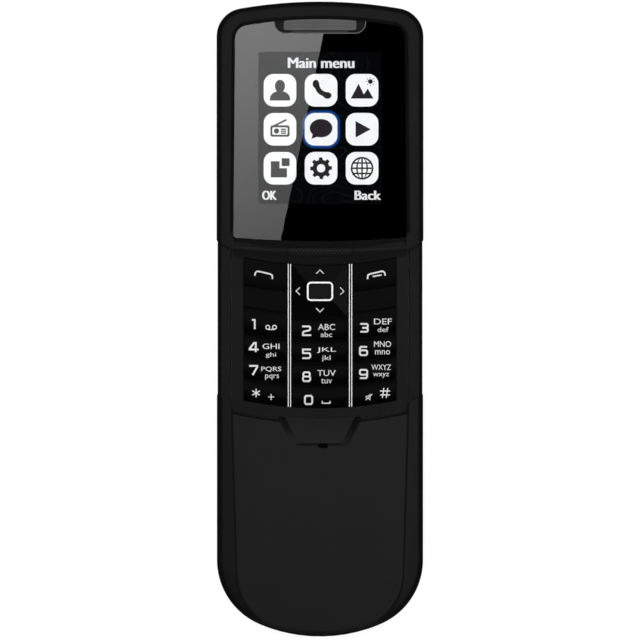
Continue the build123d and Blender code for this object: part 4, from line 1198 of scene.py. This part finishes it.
@dataclass
class Keypad:
    """The printed legends of the keys and the navigation key's arrows."""

    shop: Workshop
    row_low: tuple[float, ...] = (-4.9, -10.1, -15.3, -20.5)
    row_tall: float = 5.2
    first_tall: float = 6.1
    rise: float = 0.35
    call_crest: float = 9.25
    call_depth: float = 6.5
    call_rise: float = 0.2
    figure_line: float = 0.4
    line: float = 0.36
    thin: float = 0.26
    fine: float = 0.21
    lift: float = 0.015
    finest: float = 0.5

    def __post_init__(self) -> None:
        """Mixes the printing paint."""
        self.paint = Moulded(
            "legend_paint", (0.86, 0.86, 0.87), (0.8, 0.8, 0.81), 0.5, grain=9000.0, depth=0.001
        ).make(self.shop)

    def marks(self, key: str) -> list[Array]:
        """The small signs that go with a key's figure, as lines.

        Args:
            key: the key's name.

        Returns:
            The signs' triangles.
        """
        turn = np.radians((90.0, 30.0, 150.0))
        spokes = [
            stroke([(-14.68 - c, -16.95 - s), (-14.68 + c, -16.95 + s)], self.thin)
            for c, s in zip(np.cos(turn), np.sin(turn))
        ]
        bell = [(10.6, -18.1), (10.6, -17.7), (11.0, -17.7), (11.5, -17.3), (11.5, -18.5), (11.0, -18.1)]
        signs: dict[str, list[Array]] = {
            "key_1": [
                ring_mark(-12.0, -1.85),
                ring_mark(-10.45, -1.85),
                stroke([(-12.0, -2.35), (-10.45, -2.35)], 0.24),
            ],
            "key_star": [
                *spokes,
                stroke([(-11.93, -17.85), (-10.55, -17.85)], 0.22),
                stroke([(-11.24, -18.55), (-11.24, -17.17)], 0.22),
            ],
            "key_0": [stroke([(0.5, -18.75), (0.5, -19.3), (2.3, -19.3), (2.3, -18.75)], 0.24)],
            "key_hash": [
                *[stroke([(x - 0.18, -18.09), (x + 0.18, -15.8)], self.thin) for x in (14.5, 15.4)],
                *[stroke([(13.79, y), (16.09, y)], self.thin) for y in (-17.4, -16.5)],
                stroke(bell, 0.16, True),
                stroke([(10.5, -18.6), (12.0, -17.2)], 0.16),
            ],
        }
        return signs.get(key, [])

    def legend(self, spec: Legend) -> None:
        """Prints one key's legend on its crowned top.

        Args:
            spec: what is printed and where.
        """
        film = Print(f"legend_{spec.key}", self.paint, f"{spec.key}_cap", Slot.KEYS)
        if spec.figure:
            film.add(figure(spec.figure, spec.figure_box, self.figure_line))
        if spec.upper:
            film.add(lettering(spec.upper, spec.upper_box), lettering(spec.lower, spec.lower_box))
        film.add(*self.marks(spec.key))
        tall = self.first_tall if spec.key in ("key_1", "key_3") else self.row_tall
        film.lay(Crown(self.row_low[spec.row] + tall / 2, tall, self.rise), self.lift, self.finest)

    def call_signs(self) -> None:
        """Prints the handset line on the call key and its mirrored, doubled line on the end key."""
        crown = Crown(self.call_crest, self.call_depth, self.call_rise)
        earpiece = [(-14.95, 10.0), (-14.85, 10.7), (-14.45, 11.0), (-13.9, 10.95)]
        bend = [*earpiece, (-11.5, 10.4), (-11.0, 10.1), (-10.9, 9.2)]
        call = Print("legend_call_key", self.paint, "call_key_cap", Slot.KEYS)
        call.add(stroke(bend, self.line)).lay(crown, self.lift, self.finest)
        mirror = [(-x, y) for x, y in bend][::-1]
        end = Print("legend_end_key", self.paint, "end_key_cap", Slot.KEYS)
        end.add(stroke(mirror, self.line), stroke([(12.1, 9.8), (14.2, 10.2)], 0.3))
        end.lay(crown, self.lift, self.finest)

    def arrows(self) -> None:
        """Prints four chevrons on the navigation key's slopes."""
        chevron = np.array([(-0.86, -0.44), (0.0, 0.44), (0.86, -0.44)])
        film = Print("legend_nav_key", self.paint, Body.NAV.value, Slot.KEYS)
        for x, y, degrees in ((0.0, 10.9, 0), (0.0, 2.1, 180), (-5.05, 6.45, 90), (5.05, 6.45, 270)):
            c, s = math.cos(math.radians(degrees)), math.sin(math.radians(degrees))
            turned = chevron @ np.array([(c, s), (-s, c)]) + np.array((x, y))
            film.add(stroke(turned.tolist(), self.fine))
        film.lay(Facets(), self.lift, self.finest)

    def build(self) -> None:
        """Builds every legend."""
        for spec in LEGENDS:
            self.legend(spec)
        self.call_signs()
        self.arrows()


@dataclass
class Strips:
    """Painted shade on each bright strip between the key columns: dark lines in its groove and along its two
    edges.
    """

    shop: Workshop
    sides: tuple[float, ...] = (-7.03, 7.03)
    groove_width: float = 0.35
    edge_reach: float = 0.435
    edge_width: float = 0.17
    span: tuple[float, float] = (-20.15, 12.72)
    groove_floor: float = 12.6
    face: float = 12.8
    lift: float = 0.012

    def lay(self, name: str, places: list[float], width: float, height: float) -> None:
        """Lays dark lines of painted shade along the strips.

        Args:
            name: the film's name.
            places: X of each line's middle.
            width: the lines' width.
            height: Z of the face that they lie on.
        """
        # near black film: painted shade for the groove's floor and the strip's edges
        finish = Moulded(name, (0.0012, 0.0012, 0.0013), (0.0009, 0.0009, 0.0010), 0.5, specular=0.05)
        film = Print(name, finish.make(self.shop), Body.UPPER.value, Slot.TRIM)
        low, high = self.span
        film.add(*[stroke([(x, low), (x, high)], width) for x in places]).lay(Level(height), self.lift)

    def build(self) -> None:
        """Builds the painted shade lines in the grooves and along the edges."""
        edges = [x + reach for x in self.sides for reach in (-self.edge_reach, self.edge_reach)]
        self.lay("strip_groove_shade", list(self.sides), self.groove_width, self.groove_floor)
        self.lay("strip_edge_shade", edges, self.edge_width, self.face)


@dataclass
class Gauze:
    """A near black dust gauze across the microphone slot, whose dark colour also paints the shade down the
    hole.
    """

    shop: Workshop
    slot: Box = (-0.37, 1.77, -29.52, -28.48)
    corner_share: float = 0.49
    height: float = 14.0

    def build(self) -> None:
        """Builds the gauze: a flat sheet in the slot's outline."""
        # near black, so that the sheet also stands for the shade inside the slot: painted shade
        finish = Moulded("mic_gauze_shade", (0.0016, 0.0016, 0.0017), (0.0010, 0.0010, 0.0011), 0.8, specular=0.03)
        outline = rounded(self.slot, self.corner_share * (self.slot[3] - self.slot[2]))
        film = Print("mic_gauze_shade", finish.make(self.shop), Body.LOWER.value, Slot.COVER)
        film.add(fan(outline)).lay(Level(self.height), 0.0)


@dataclass
class Grip:
    """The raised dots on the thumb grip in the middle of the sill."""

    shop: Workshop
    half: float = 6.6
    rows: tuple[float, ...] = (15.05, 15.6, 16.15)
    heights: tuple[float, ...] = (16.199, 16.293, 16.202)
    pitch: float = 0.82
    dot: float = 0.16
    flat: float = 0.6
    crown: float = 1.35
    sunk: float = 0.03
    bow: float = 220.0

    def build(self) -> None:
        """Builds the dots along the sill's bow: a grid of low domes.

        Each dome is three rings of a flattened half ball, up to the crown's angle in radians. Both ends are
        closed: the eight points of a ring make three faces of four corners.
        """
        count = int(2 * self.half / self.pitch) + 1
        x, row = np.meshgrid(np.linspace(-self.half, self.half, count), np.array(self.rows))
        x = x + (np.arange(len(self.rows)) % 2)[:, None] * self.pitch / 2
        x, row = x.ravel(), row.ravel()
        y = row + self.bow - np.sqrt(self.bow**2 - x**2)
        circle = np.linspace(0, 2 * math.pi, 8, endpoint=False)
        rise, turn = np.meshgrid(np.linspace(0.0, self.crown, 3), circle, indexing="ij")
        out, up = np.cos(rise), self.flat * np.sin(rise)
        dome = np.stack((out * np.cos(turn), out * np.sin(turn), up), axis=-1)
        rings, around = dome.shape[:2]
        places = np.column_stack((x, y, np.interp(row, self.rows, self.heights) - self.sunk))
        points = (places[:, None, None, :] + self.dot * dome[None]).reshape(-1, 3)
        ring, at = np.meshgrid(np.arange(rings - 1), np.arange(around), indexing="ij")
        here, ahead = ring * around + at, ring * around + (at + 1) % around
        sides = np.stack((here, ahead, ahead + around, here + around), axis=-1).reshape(-1, 4)
        lid = np.array(((0, 1, 2, 3), (0, 3, 4, 7), (4, 5, 6, 7)))
        closed = np.concatenate((sides, lid + (rings - 1) * around, lid[:, ::-1]))
        offset = np.arange(len(places)) * rings * around
        faces = (closed[None] + offset[:, None, None]).reshape(-1, 4)
        # the dots are ten times as light as the sill that carries them: a painted highlight for the light
        # they catch
        finish = Moulded("grip_dots_highlight", (0.03, 0.03, 0.031), (0.024, 0.024, 0.025), 0.4, specular=0.3)
        material = finish.make(self.shop)
        add_piece("grip_dots_highlight", points, faces, material, Body.UPPER.value, smooth=True)


@dataclass
class Shell:
    """The solids of the phone, each in its finish."""

    shop: Workshop

    def finishes(self) -> dict[str, Moulded | Drawn | ClearWindow]:
        """The finish of each of the record's slots, and of single nodes by name.

        Returns:
            Slot or node name to finish.
        """
        dull = Drawn("dull_steel", (0.34, 0.34, 0.345), (0.3, 0.3, 0.305), 0.45)
        satin_black = ((0.0024, 0.0024, 0.0025), (0.0020, 0.0020, 0.0021))
        piano_black = ((0.0012, 0.0012, 0.0013), (0.0009, 0.0009, 0.0010))
        sill_black = ((0.0030, 0.0030, 0.0031), (0.0025, 0.0025, 0.0026))
        soft_black = ((0.004, 0.004, 0.0042), (0.003, 0.003, 0.0032))
        mask_black = ((0.0007, 0.0007, 0.0008), (0.0004, 0.0004, 0.0005))
        panel_black = ((0.003, 0.003, 0.0035), (0.002, 0.002, 0.0024))
        return {
            # wall=14.0 paints upright and downward faces fourteen times as light as the front: painted light
            "housing": Moulded("satin_housing", *satin_black, 0.38, specular=0.175, wall=14.0),
            # wall=14.0 here too is painted light on the cover's upright and downward faces
            "cover": Moulded(
                "satin_cover", *satin_black, 0.38, specular=0.15, polish=0.24, raised=(15.2, 15.9), wall=14.0
            ),
            "keys": Moulded("key_lacquer", *piano_black, 0.24, 0.05, depth=0.001, specular=0.034),
            "nav_key": Moulded("nav_lacquer", *piano_black, 0.2, 0.05, depth=0.001, specular=0.04),
            "ok_key": Moulded("ok_lacquer", *soft_black, 0.26, 0.05, depth=0.001, specular=0.08),
            "window": ClearWindow("window_clear", (0.98, 0.99, 0.99), (0.96, 0.97, 0.97), 1.8),
            "mask": Moulded("mask_print", *mask_black, 0.6, specular=0.1),
            "display": Moulded("panel_face", *panel_black, 0.4, specular=0.1),
            "bright_trim": Drawn("bright_trim", (0.92, 0.92, 0.93), (0.86, 0.86, 0.88), 0.25),
            "sill": Moulded("sill_satin", *sill_black, 0.48, depth=0.002, specular=0.31),
            "steel": Drawn("drawn_steel", (0.5, 0.5, 0.52), (0.42, 0.42, 0.44), 0.35),
            "guide_rail_left": dull,
            "guide_rail_right": dull,
            "slide_base_plate": dull,
            "slide_carriage": dull,
            "board": Moulded("board_lacquer", (0.012, 0.075, 0.03), (0.008, 0.055, 0.022), 0.35, patch=900.0),
            "flex": Moulded("flex_film", (0.32, 0.13, 0.025), (0.24, 0.09, 0.018), 0.35, patch=500.0),
            "battery": Moulded("battery_wrap", (0.05, 0.05, 0.055), (0.035, 0.035, 0.04), 0.45),
            "contacts": Drawn("gilt_contacts", (0.83, 0.6, 0.26), (0.75, 0.52, 0.2), 0.3),
            "inner_plastic": Moulded("inner_plastic", (0.03, 0.03, 0.032), (0.022, 0.022, 0.024), 0.5),
            "membrane": Moulded("membrane_rubber", *soft_black, 0.7, specular=0.1),
            "earpiece_grille": Drawn("grille_metal", (0.13, 0.13, 0.133), (0.11, 0.11, 0.113), 0.4, 0.8),
            "camera_window": ClearWindow("lens_window", (0.7, 0.74, 0.8), (0.66, 0.7, 0.78)),
        }

    def build(self) -> None:
        """Gives every solid its finish: a node's own where it has one, else its slot's."""
        made = {key: finish.make(self.shop) for key, finish in self.finishes().items()}
        slots = {entry["node"]: entry["material_slot"] for entry in frame["record"]["subparts"]}
        for name, node in frame["nodes"].items():
            material = made.get(name) or made[slots[name]]
            if not node.material_slots:
                node.data.materials.append(material)
            for held in node.material_slots:
                held.material = material
            LOG.info("%s: %s", name, material.name)


# Stage


@dataclass(frozen=True)
class Lamp:
    """A soft area lamp that faces the phone and stays out of reflections: its place, two sides and watts."""

    name: str
    place: Point
    size: tuple[float, float]
    power: float

    def hang(self) -> None:
        """Hangs the lamp, turned so that it faces the phone."""
        data = bpy.data.lights.new(self.name, "AREA")
        data.shape = "RECTANGLE"
        data.size, data.size_y = self.size
        data.energy = self.power
        lamp = bpy.data.objects.new(self.name, data)
        lamp.location = self.place
        x, y, z = self.place
        lamp.rotation_euler = (math.atan2(math.hypot(x, y), z), 0.0, math.atan2(x, -y) if (x or y) else 0.0)
        lamp.visible_glossy = False
        lamp.visible_transmission = False
        bpy.context.scene.collection.objects.link(lamp)


# The soft overhead lamp, the one that lights the phone's back, and a low one on each side for its walls.
LAMPS: tuple[Lamp, ...] = (
    Lamp("overhead", (0.0, 0.1, 1.2), (0.9, 0.9), 11.0),
    Lamp("underside", (0.0, 0.0, -1.0), (0.8, 0.8), 5.0),
    *(
        Lamp(f"low_{number}", (float(x), float(y), 0.22), (0.9, 0.4), 2.0)
        for number, (x, y) in enumerate(SIDES)
    ),
)


@dataclass
class Studio:
    """Floor, lamps, reflector cards, black flags and camera.

    Lengths are in metres, apart from places on the phone's front, which are in millimetres.
    """

    front: float = 0.0164
    distance: float = 1.0
    sensor: float = 36.0
    clip: tuple[float, float] = (0.01, 50.0)
    frame_height: float = 0.14650
    aim_y: float = -0.00018
    world_glow: float = 0.05
    floor_reach: float = 4.0
    floor_level: float = -0.0002
    floor_tone: Rgba = (0.25, 0.25, 0.25, 1.0)
    floor_glow: float = 0.87
    floor_fade: tuple[float, float] = (0.25, 1.2)
    room: tuple[float, float] = (1.15, 1.5)
    lid_reach: float = 1.4
    skirt_reach: float = 0.5
    skirt_hole: tuple[float, float] = (0.022, 0.071)
    skirt_height: float = 0.0004
    card_height: float = 1.2
    window: Box = (-20.2, 20.2, 17.0, 69.2)
    picture: Box = (-14.1, 14.1, 26.4, 61.2)
    soft_box: Box = (-105.0, 105.0, -108.0, 220.0)
    soft_glow: tuple[float, float] = (1.62, 0.05)
    sheen_edge: tuple[float, float] = (-9.2, 1.6)
    sheen_slope: Box = (-20.2, 69.2, -4.0, 20.0)
    sheen_glow: tuple[float, float] = (2.4, 1.1)
    picture_glow: tuple[float, float] = (0.7, 0.42)
    side_card: Box = (105.0, 195.0, -50.0, 65.0)
    side_glow: float = 3.4
    low_card: tuple[float, float, float, float] = (0.6, 0.8, 0.02, 0.22)
    low_glow: float = 0.75
    ring_card: tuple[float, float, float] = (1.1, 0.3, 1.0)
    ring_share: float = 0.9
    ring_glow: float = 0.32

    def seen(self, graph: Graph) -> bpy.types.NodeSocket:
        """One for rays from the eye, from metal and through glass, and nothing for light on other surfaces.

        Args:
            graph: the graph of the material or the world.

        Returns:
            The mask.
        """
        path = graph.add("ShaderNodeLightPath").outputs
        seen = graph.math("MAXIMUM", path["Is Camera Ray"], path["Is Glossy Ray"])
        return graph.math("MAXIMUM", seen, path["Is Transmission Ray"])

    def panel(self, name: str, corners: list[Point], material: bpy.types.Material) -> bpy.types.Object:
        """Adds one flat stage face through its corners.

        Args:
            name: the face's name.
            corners: its corners in order.
            material: its material.

        Returns:
            The new object.
        """
        mesh = bpy.data.meshes.new(name)
        mesh.from_pydata(corners, [], [list(range(len(corners)))])
        mesh.materials.append(material)
        panel = bpy.data.objects.new(name, mesh)
        bpy.context.scene.collection.objects.link(panel)
        return panel

    def floor(self) -> None:
        """Lays the pale floor just under the phone: it glows white to the eye, so that only shadow tints it.

        The glow grows to full white far away. The floor is clear from below and casts no shadow, so that the
        phone's back can be looked at.
        """
        material, graph, shader = start_material("pale_floor")
        away = graph.add("ShaderNodeVectorMath", {0: graph.here()}, operation="LENGTH").outputs["Value"]
        glow = graph.ramp(away, *self.floor_fade, self.floor_glow, 1.0)
        strength = graph.math("MULTIPLY", self.seen(graph), glow)
        graph.fill(shader, {"Base Color": self.floor_tone, "Roughness": 1.0, "Specular IOR Level": 0.0})
        graph.fill(shader, {"Emission Color": WHITE, "Emission Strength": strength})
        below = graph.add("ShaderNodeNewGeometry").outputs["Backfacing"]
        clear = graph.add("ShaderNodeBsdfTransparent").outputs[0]
        either = graph.add("ShaderNodeMixShader", {0: below, 1: shader.outputs[0], 2: clear})
        graph.fill(graph.tree.nodes["Material Output"], {"Surface": either.outputs[0]})
        reach = self.floor_reach
        plan = corners_of((-reach, reach, -reach, reach))
        floor = self.panel("floor", [(x, y, self.floor_level) for x, y in plan], material)
        floor.visible_shadow = False

    def mirrored(self, plan: Plan) -> list[Point]:
        """Card corners that show at these places of the phone's front.

        A place's mirror line runs from the camera down to it and on up, so the card's place lies further out
        in the ratio of the card's height and the camera's distance.

        Args:
            plan: places of the phone's front.

        Returns:
            The corners in metres.
        """
        ratio = 1.0 + self.card_height / self.distance
        height = self.front + self.card_height
        return [(x * MM * ratio, self.aim_y + (y * MM - self.aim_y) * ratio, height) for x, y in plan]

    def hide(self, panel: bpy.types.Object) -> None:
        """Leaves a panel to reflections alone.

        Args:
            panel: the panel.
        """
        panel.visible_camera = False
        panel.visible_diffuse = False
        panel.visible_shadow = False

    def plain_card(self, name: str, corners: list[Point], glow: float) -> None:
        """Adds an evenly glowing panel, or a black one, that shows only in reflections.

        Args:
            name: the card's name.
            corners: its corners.
            glow: its strength.
        """
        material, graph, light = start_material(name, "ShaderNodeEmission")
        graph.fill(light, {"Color": WHITE, "Strength": glow})
        self.hide(self.panel(name, corners, material))

    def sloped_card(self, name: str, faces: list[Plan], glow: tuple[float, float], slope: Box) -> None:
        """Hangs panels that show only in reflections, and whose glow changes evenly along a line.

        Args:
            name: the card's name.
            faces: places of the phone's front where each panel's corners show.
            glow: strength at the start and at the end of the slope.
            slope: X and Y of the slope's start and of its end, on the phone's front.
        """
        material, graph, light = start_material(name, "ShaderNodeEmission")
        (x0, y0, _), (x1, y1, _) = self.mirrored([slope[:2], slope[2:]])
        dx, dy = x1 - x0, y1 - y0
        size = dx * dx + dy * dy
        way = (dx / size, dy / size, 0.0)
        dot = graph.add("ShaderNodeVectorMath", {0: graph.here(), 1: way}, operation="DOT_PRODUCT")
        along = graph.math("SUBTRACT", dot.outputs["Value"], (x0 * dx + y0 * dy) / size)
        graph.fill(light, {"Color": WHITE, "Strength": graph.ramp(along, 0.0, 1.0, *glow)})
        for number, plan in enumerate(faces):
            self.hide(self.panel(f"{name}_{number}", self.mirrored(plan), material))

    def upright(
        self, side: tuple[int, int], away: float, half: float, bottom: float, top: float
    ) -> list[Point]:
        """Corners of an upright panel across one side of the stage.

        Args:
            side: the direction in which it stands.
            away: its distance from the middle.
            half: half its width.
            bottom: its lower edge's height.
            top: its upper edge's height.

        Returns:
            The four corners.
        """
        x, y = side
        start = (away * x + half * y, away * y - half * x)
        end = (away * x - half * y, away * y + half * x)
        return [(*start, bottom), (*end, bottom), (*end, top), (*start, top)]

    def flags(self) -> None:
        """Hangs black flags, so that the white round the stage stays out of the phone's reflections.

        They are four walls, a lid, and a skirt on the floor. The skirt has a hole under the phone, so that
        its back shows the floor's white.
        """
        away, top = self.room
        for number, side in enumerate(SIDES):
            self.plain_card(f"flag_wall_{number}", self.upright(side, away, away, 0.0, top), 0.0)
        lid = corners_of((-self.lid_reach, self.lid_reach, -self.lid_reach, self.lid_reach))
        self.plain_card("flag_above", [(x, y, top) for x, y in lid], 0.0)
        reach, (x, y) = self.skirt_reach, self.skirt_hole
        strips = (
            (-reach, reach, y, reach),
            (-reach, reach, -reach, -y),
            (-reach, -x, -y, y),
            (x, reach, -y, y),
        )
        for number, box in enumerate(strips):
            corners = [(*corner, self.skirt_height) for corner in corners_of(box)]
            self.plain_card(f"flag_skirt_{number}", corners, 0.0)

    def lean(self, y: float) -> tuple[float, float]:
        """The place on the window's sheen edge at a height: the edge leans evenly from end to end.

        Args:
            y: the height on the phone's front.

        Returns:
            X and Y of the place.
        """
        _, _, low, high = self.window
        start, end = self.sheen_edge
        return (start + (y - low) / (high - low) * (end - start), y)

    def front_cards(self) -> None:
        """Hangs the soft box round the window's dark place, the window's sheen and the bright side card.

        The sheen is weaker over the lit picture, which lies under two faces that both reflect it.
        """
        left, right, low, high = self.window
        start, end, near, far = self.soft_box
        around = (
            (start, end, near, low),
            (start, end, high, far),
            (start, left, low, high),
            (right, end, low, high),
        )
        panels = [corners_of(box) for box in around]
        self.sloped_card("soft_box", panels, self.soft_glow, (0.0, 0.0, 0.0, near))
        shown, _, shown_low, shown_high = self.picture
        upper, lower = self.lean(shown_high), self.lean(shown_low)
        inner = [upper, (shown, shown_high), (shown, shown_low), lower]
        rim = [(left, high), self.lean(high), *inner, self.lean(low), (left, low)]
        middle = [(shown, shown_high), upper, lower, (shown, shown_low)]
        self.sloped_card("sheen_card", [rim], self.sheen_glow, self.sheen_slope)
        self.sloped_card("picture_sheen", [middle], self.picture_glow, self.sheen_slope)
        self.plain_card("side_card", self.mirrored(corners_of(self.side_card)), self.side_glow)

    def standing_cards(self) -> None:
        """Stands a low card beyond the phone's foot for its slopes, and a weak one on each side."""
        half, away, bottom, top = self.low_card
        self.plain_card("low_card", self.upright((0, -1), away, half, bottom, top), self.low_glow)
        away, bottom, top = self.ring_card
        for number, side in enumerate(SIDES):
            corners = self.upright(side, away, self.ring_share * away, bottom, top)
            self.plain_card(f"ring_card_{number}", corners, self.ring_glow)

    def sky(self) -> None:
        """Sets a plain dim world that the eye, metal and glass see as white."""
        world = bpy.data.worlds.new("dim_world")
        world.use_nodes = True
        world.node_tree.nodes.clear()
        graph = Graph(world.node_tree)
        glow = graph.math("MAXIMUM", self.seen(graph), self.world_glow)
        light = graph.add("ShaderNodeBackground", {"Color": WHITE, "Strength": glow})
        graph.add("ShaderNodeOutputWorld", {"Surface": light.outputs[0]})
        bpy.context.scene.world = world

    def camera(self) -> None:
        """Sets the camera square over the phone's front, at the photograph's framing."""
        data = bpy.data.cameras.new("camera")
        data.sensor_width = self.sensor
        data.lens = self.sensor * self.distance / self.frame_height
        data.clip_start, data.clip_end = self.clip
        camera = bpy.data.objects.new("camera", data)
        camera.location = (0.0, self.aim_y, self.front + self.distance)
        bpy.context.scene.collection.objects.link(camera)
        bpy.context.scene.camera = camera

    def build(self) -> None:
        """Builds the whole stage."""
        self.camera()
        self.sky()
        self.floor()
        for lamp in LAMPS:
            lamp.hang()
        self.flags()
        self.front_cards()
        self.standing_cards()
        bpy.context.scene.view_settings.view_transform = "Standard"


def main() -> None:
    """Builds the phone's sub-assemblies in order, then the stage."""
    logging.basicConfig(level=logging.INFO, format="%(name)s %(message)s")
    shop = Workshop()
    Shell(shop).build()
    Display(shop).build()
    Keypad(shop).build()
    Strips(shop).build()
    Gauze(shop).build()
    Grip(shop).build()
    Studio().build()


if __name__ == "__main__":
    main()
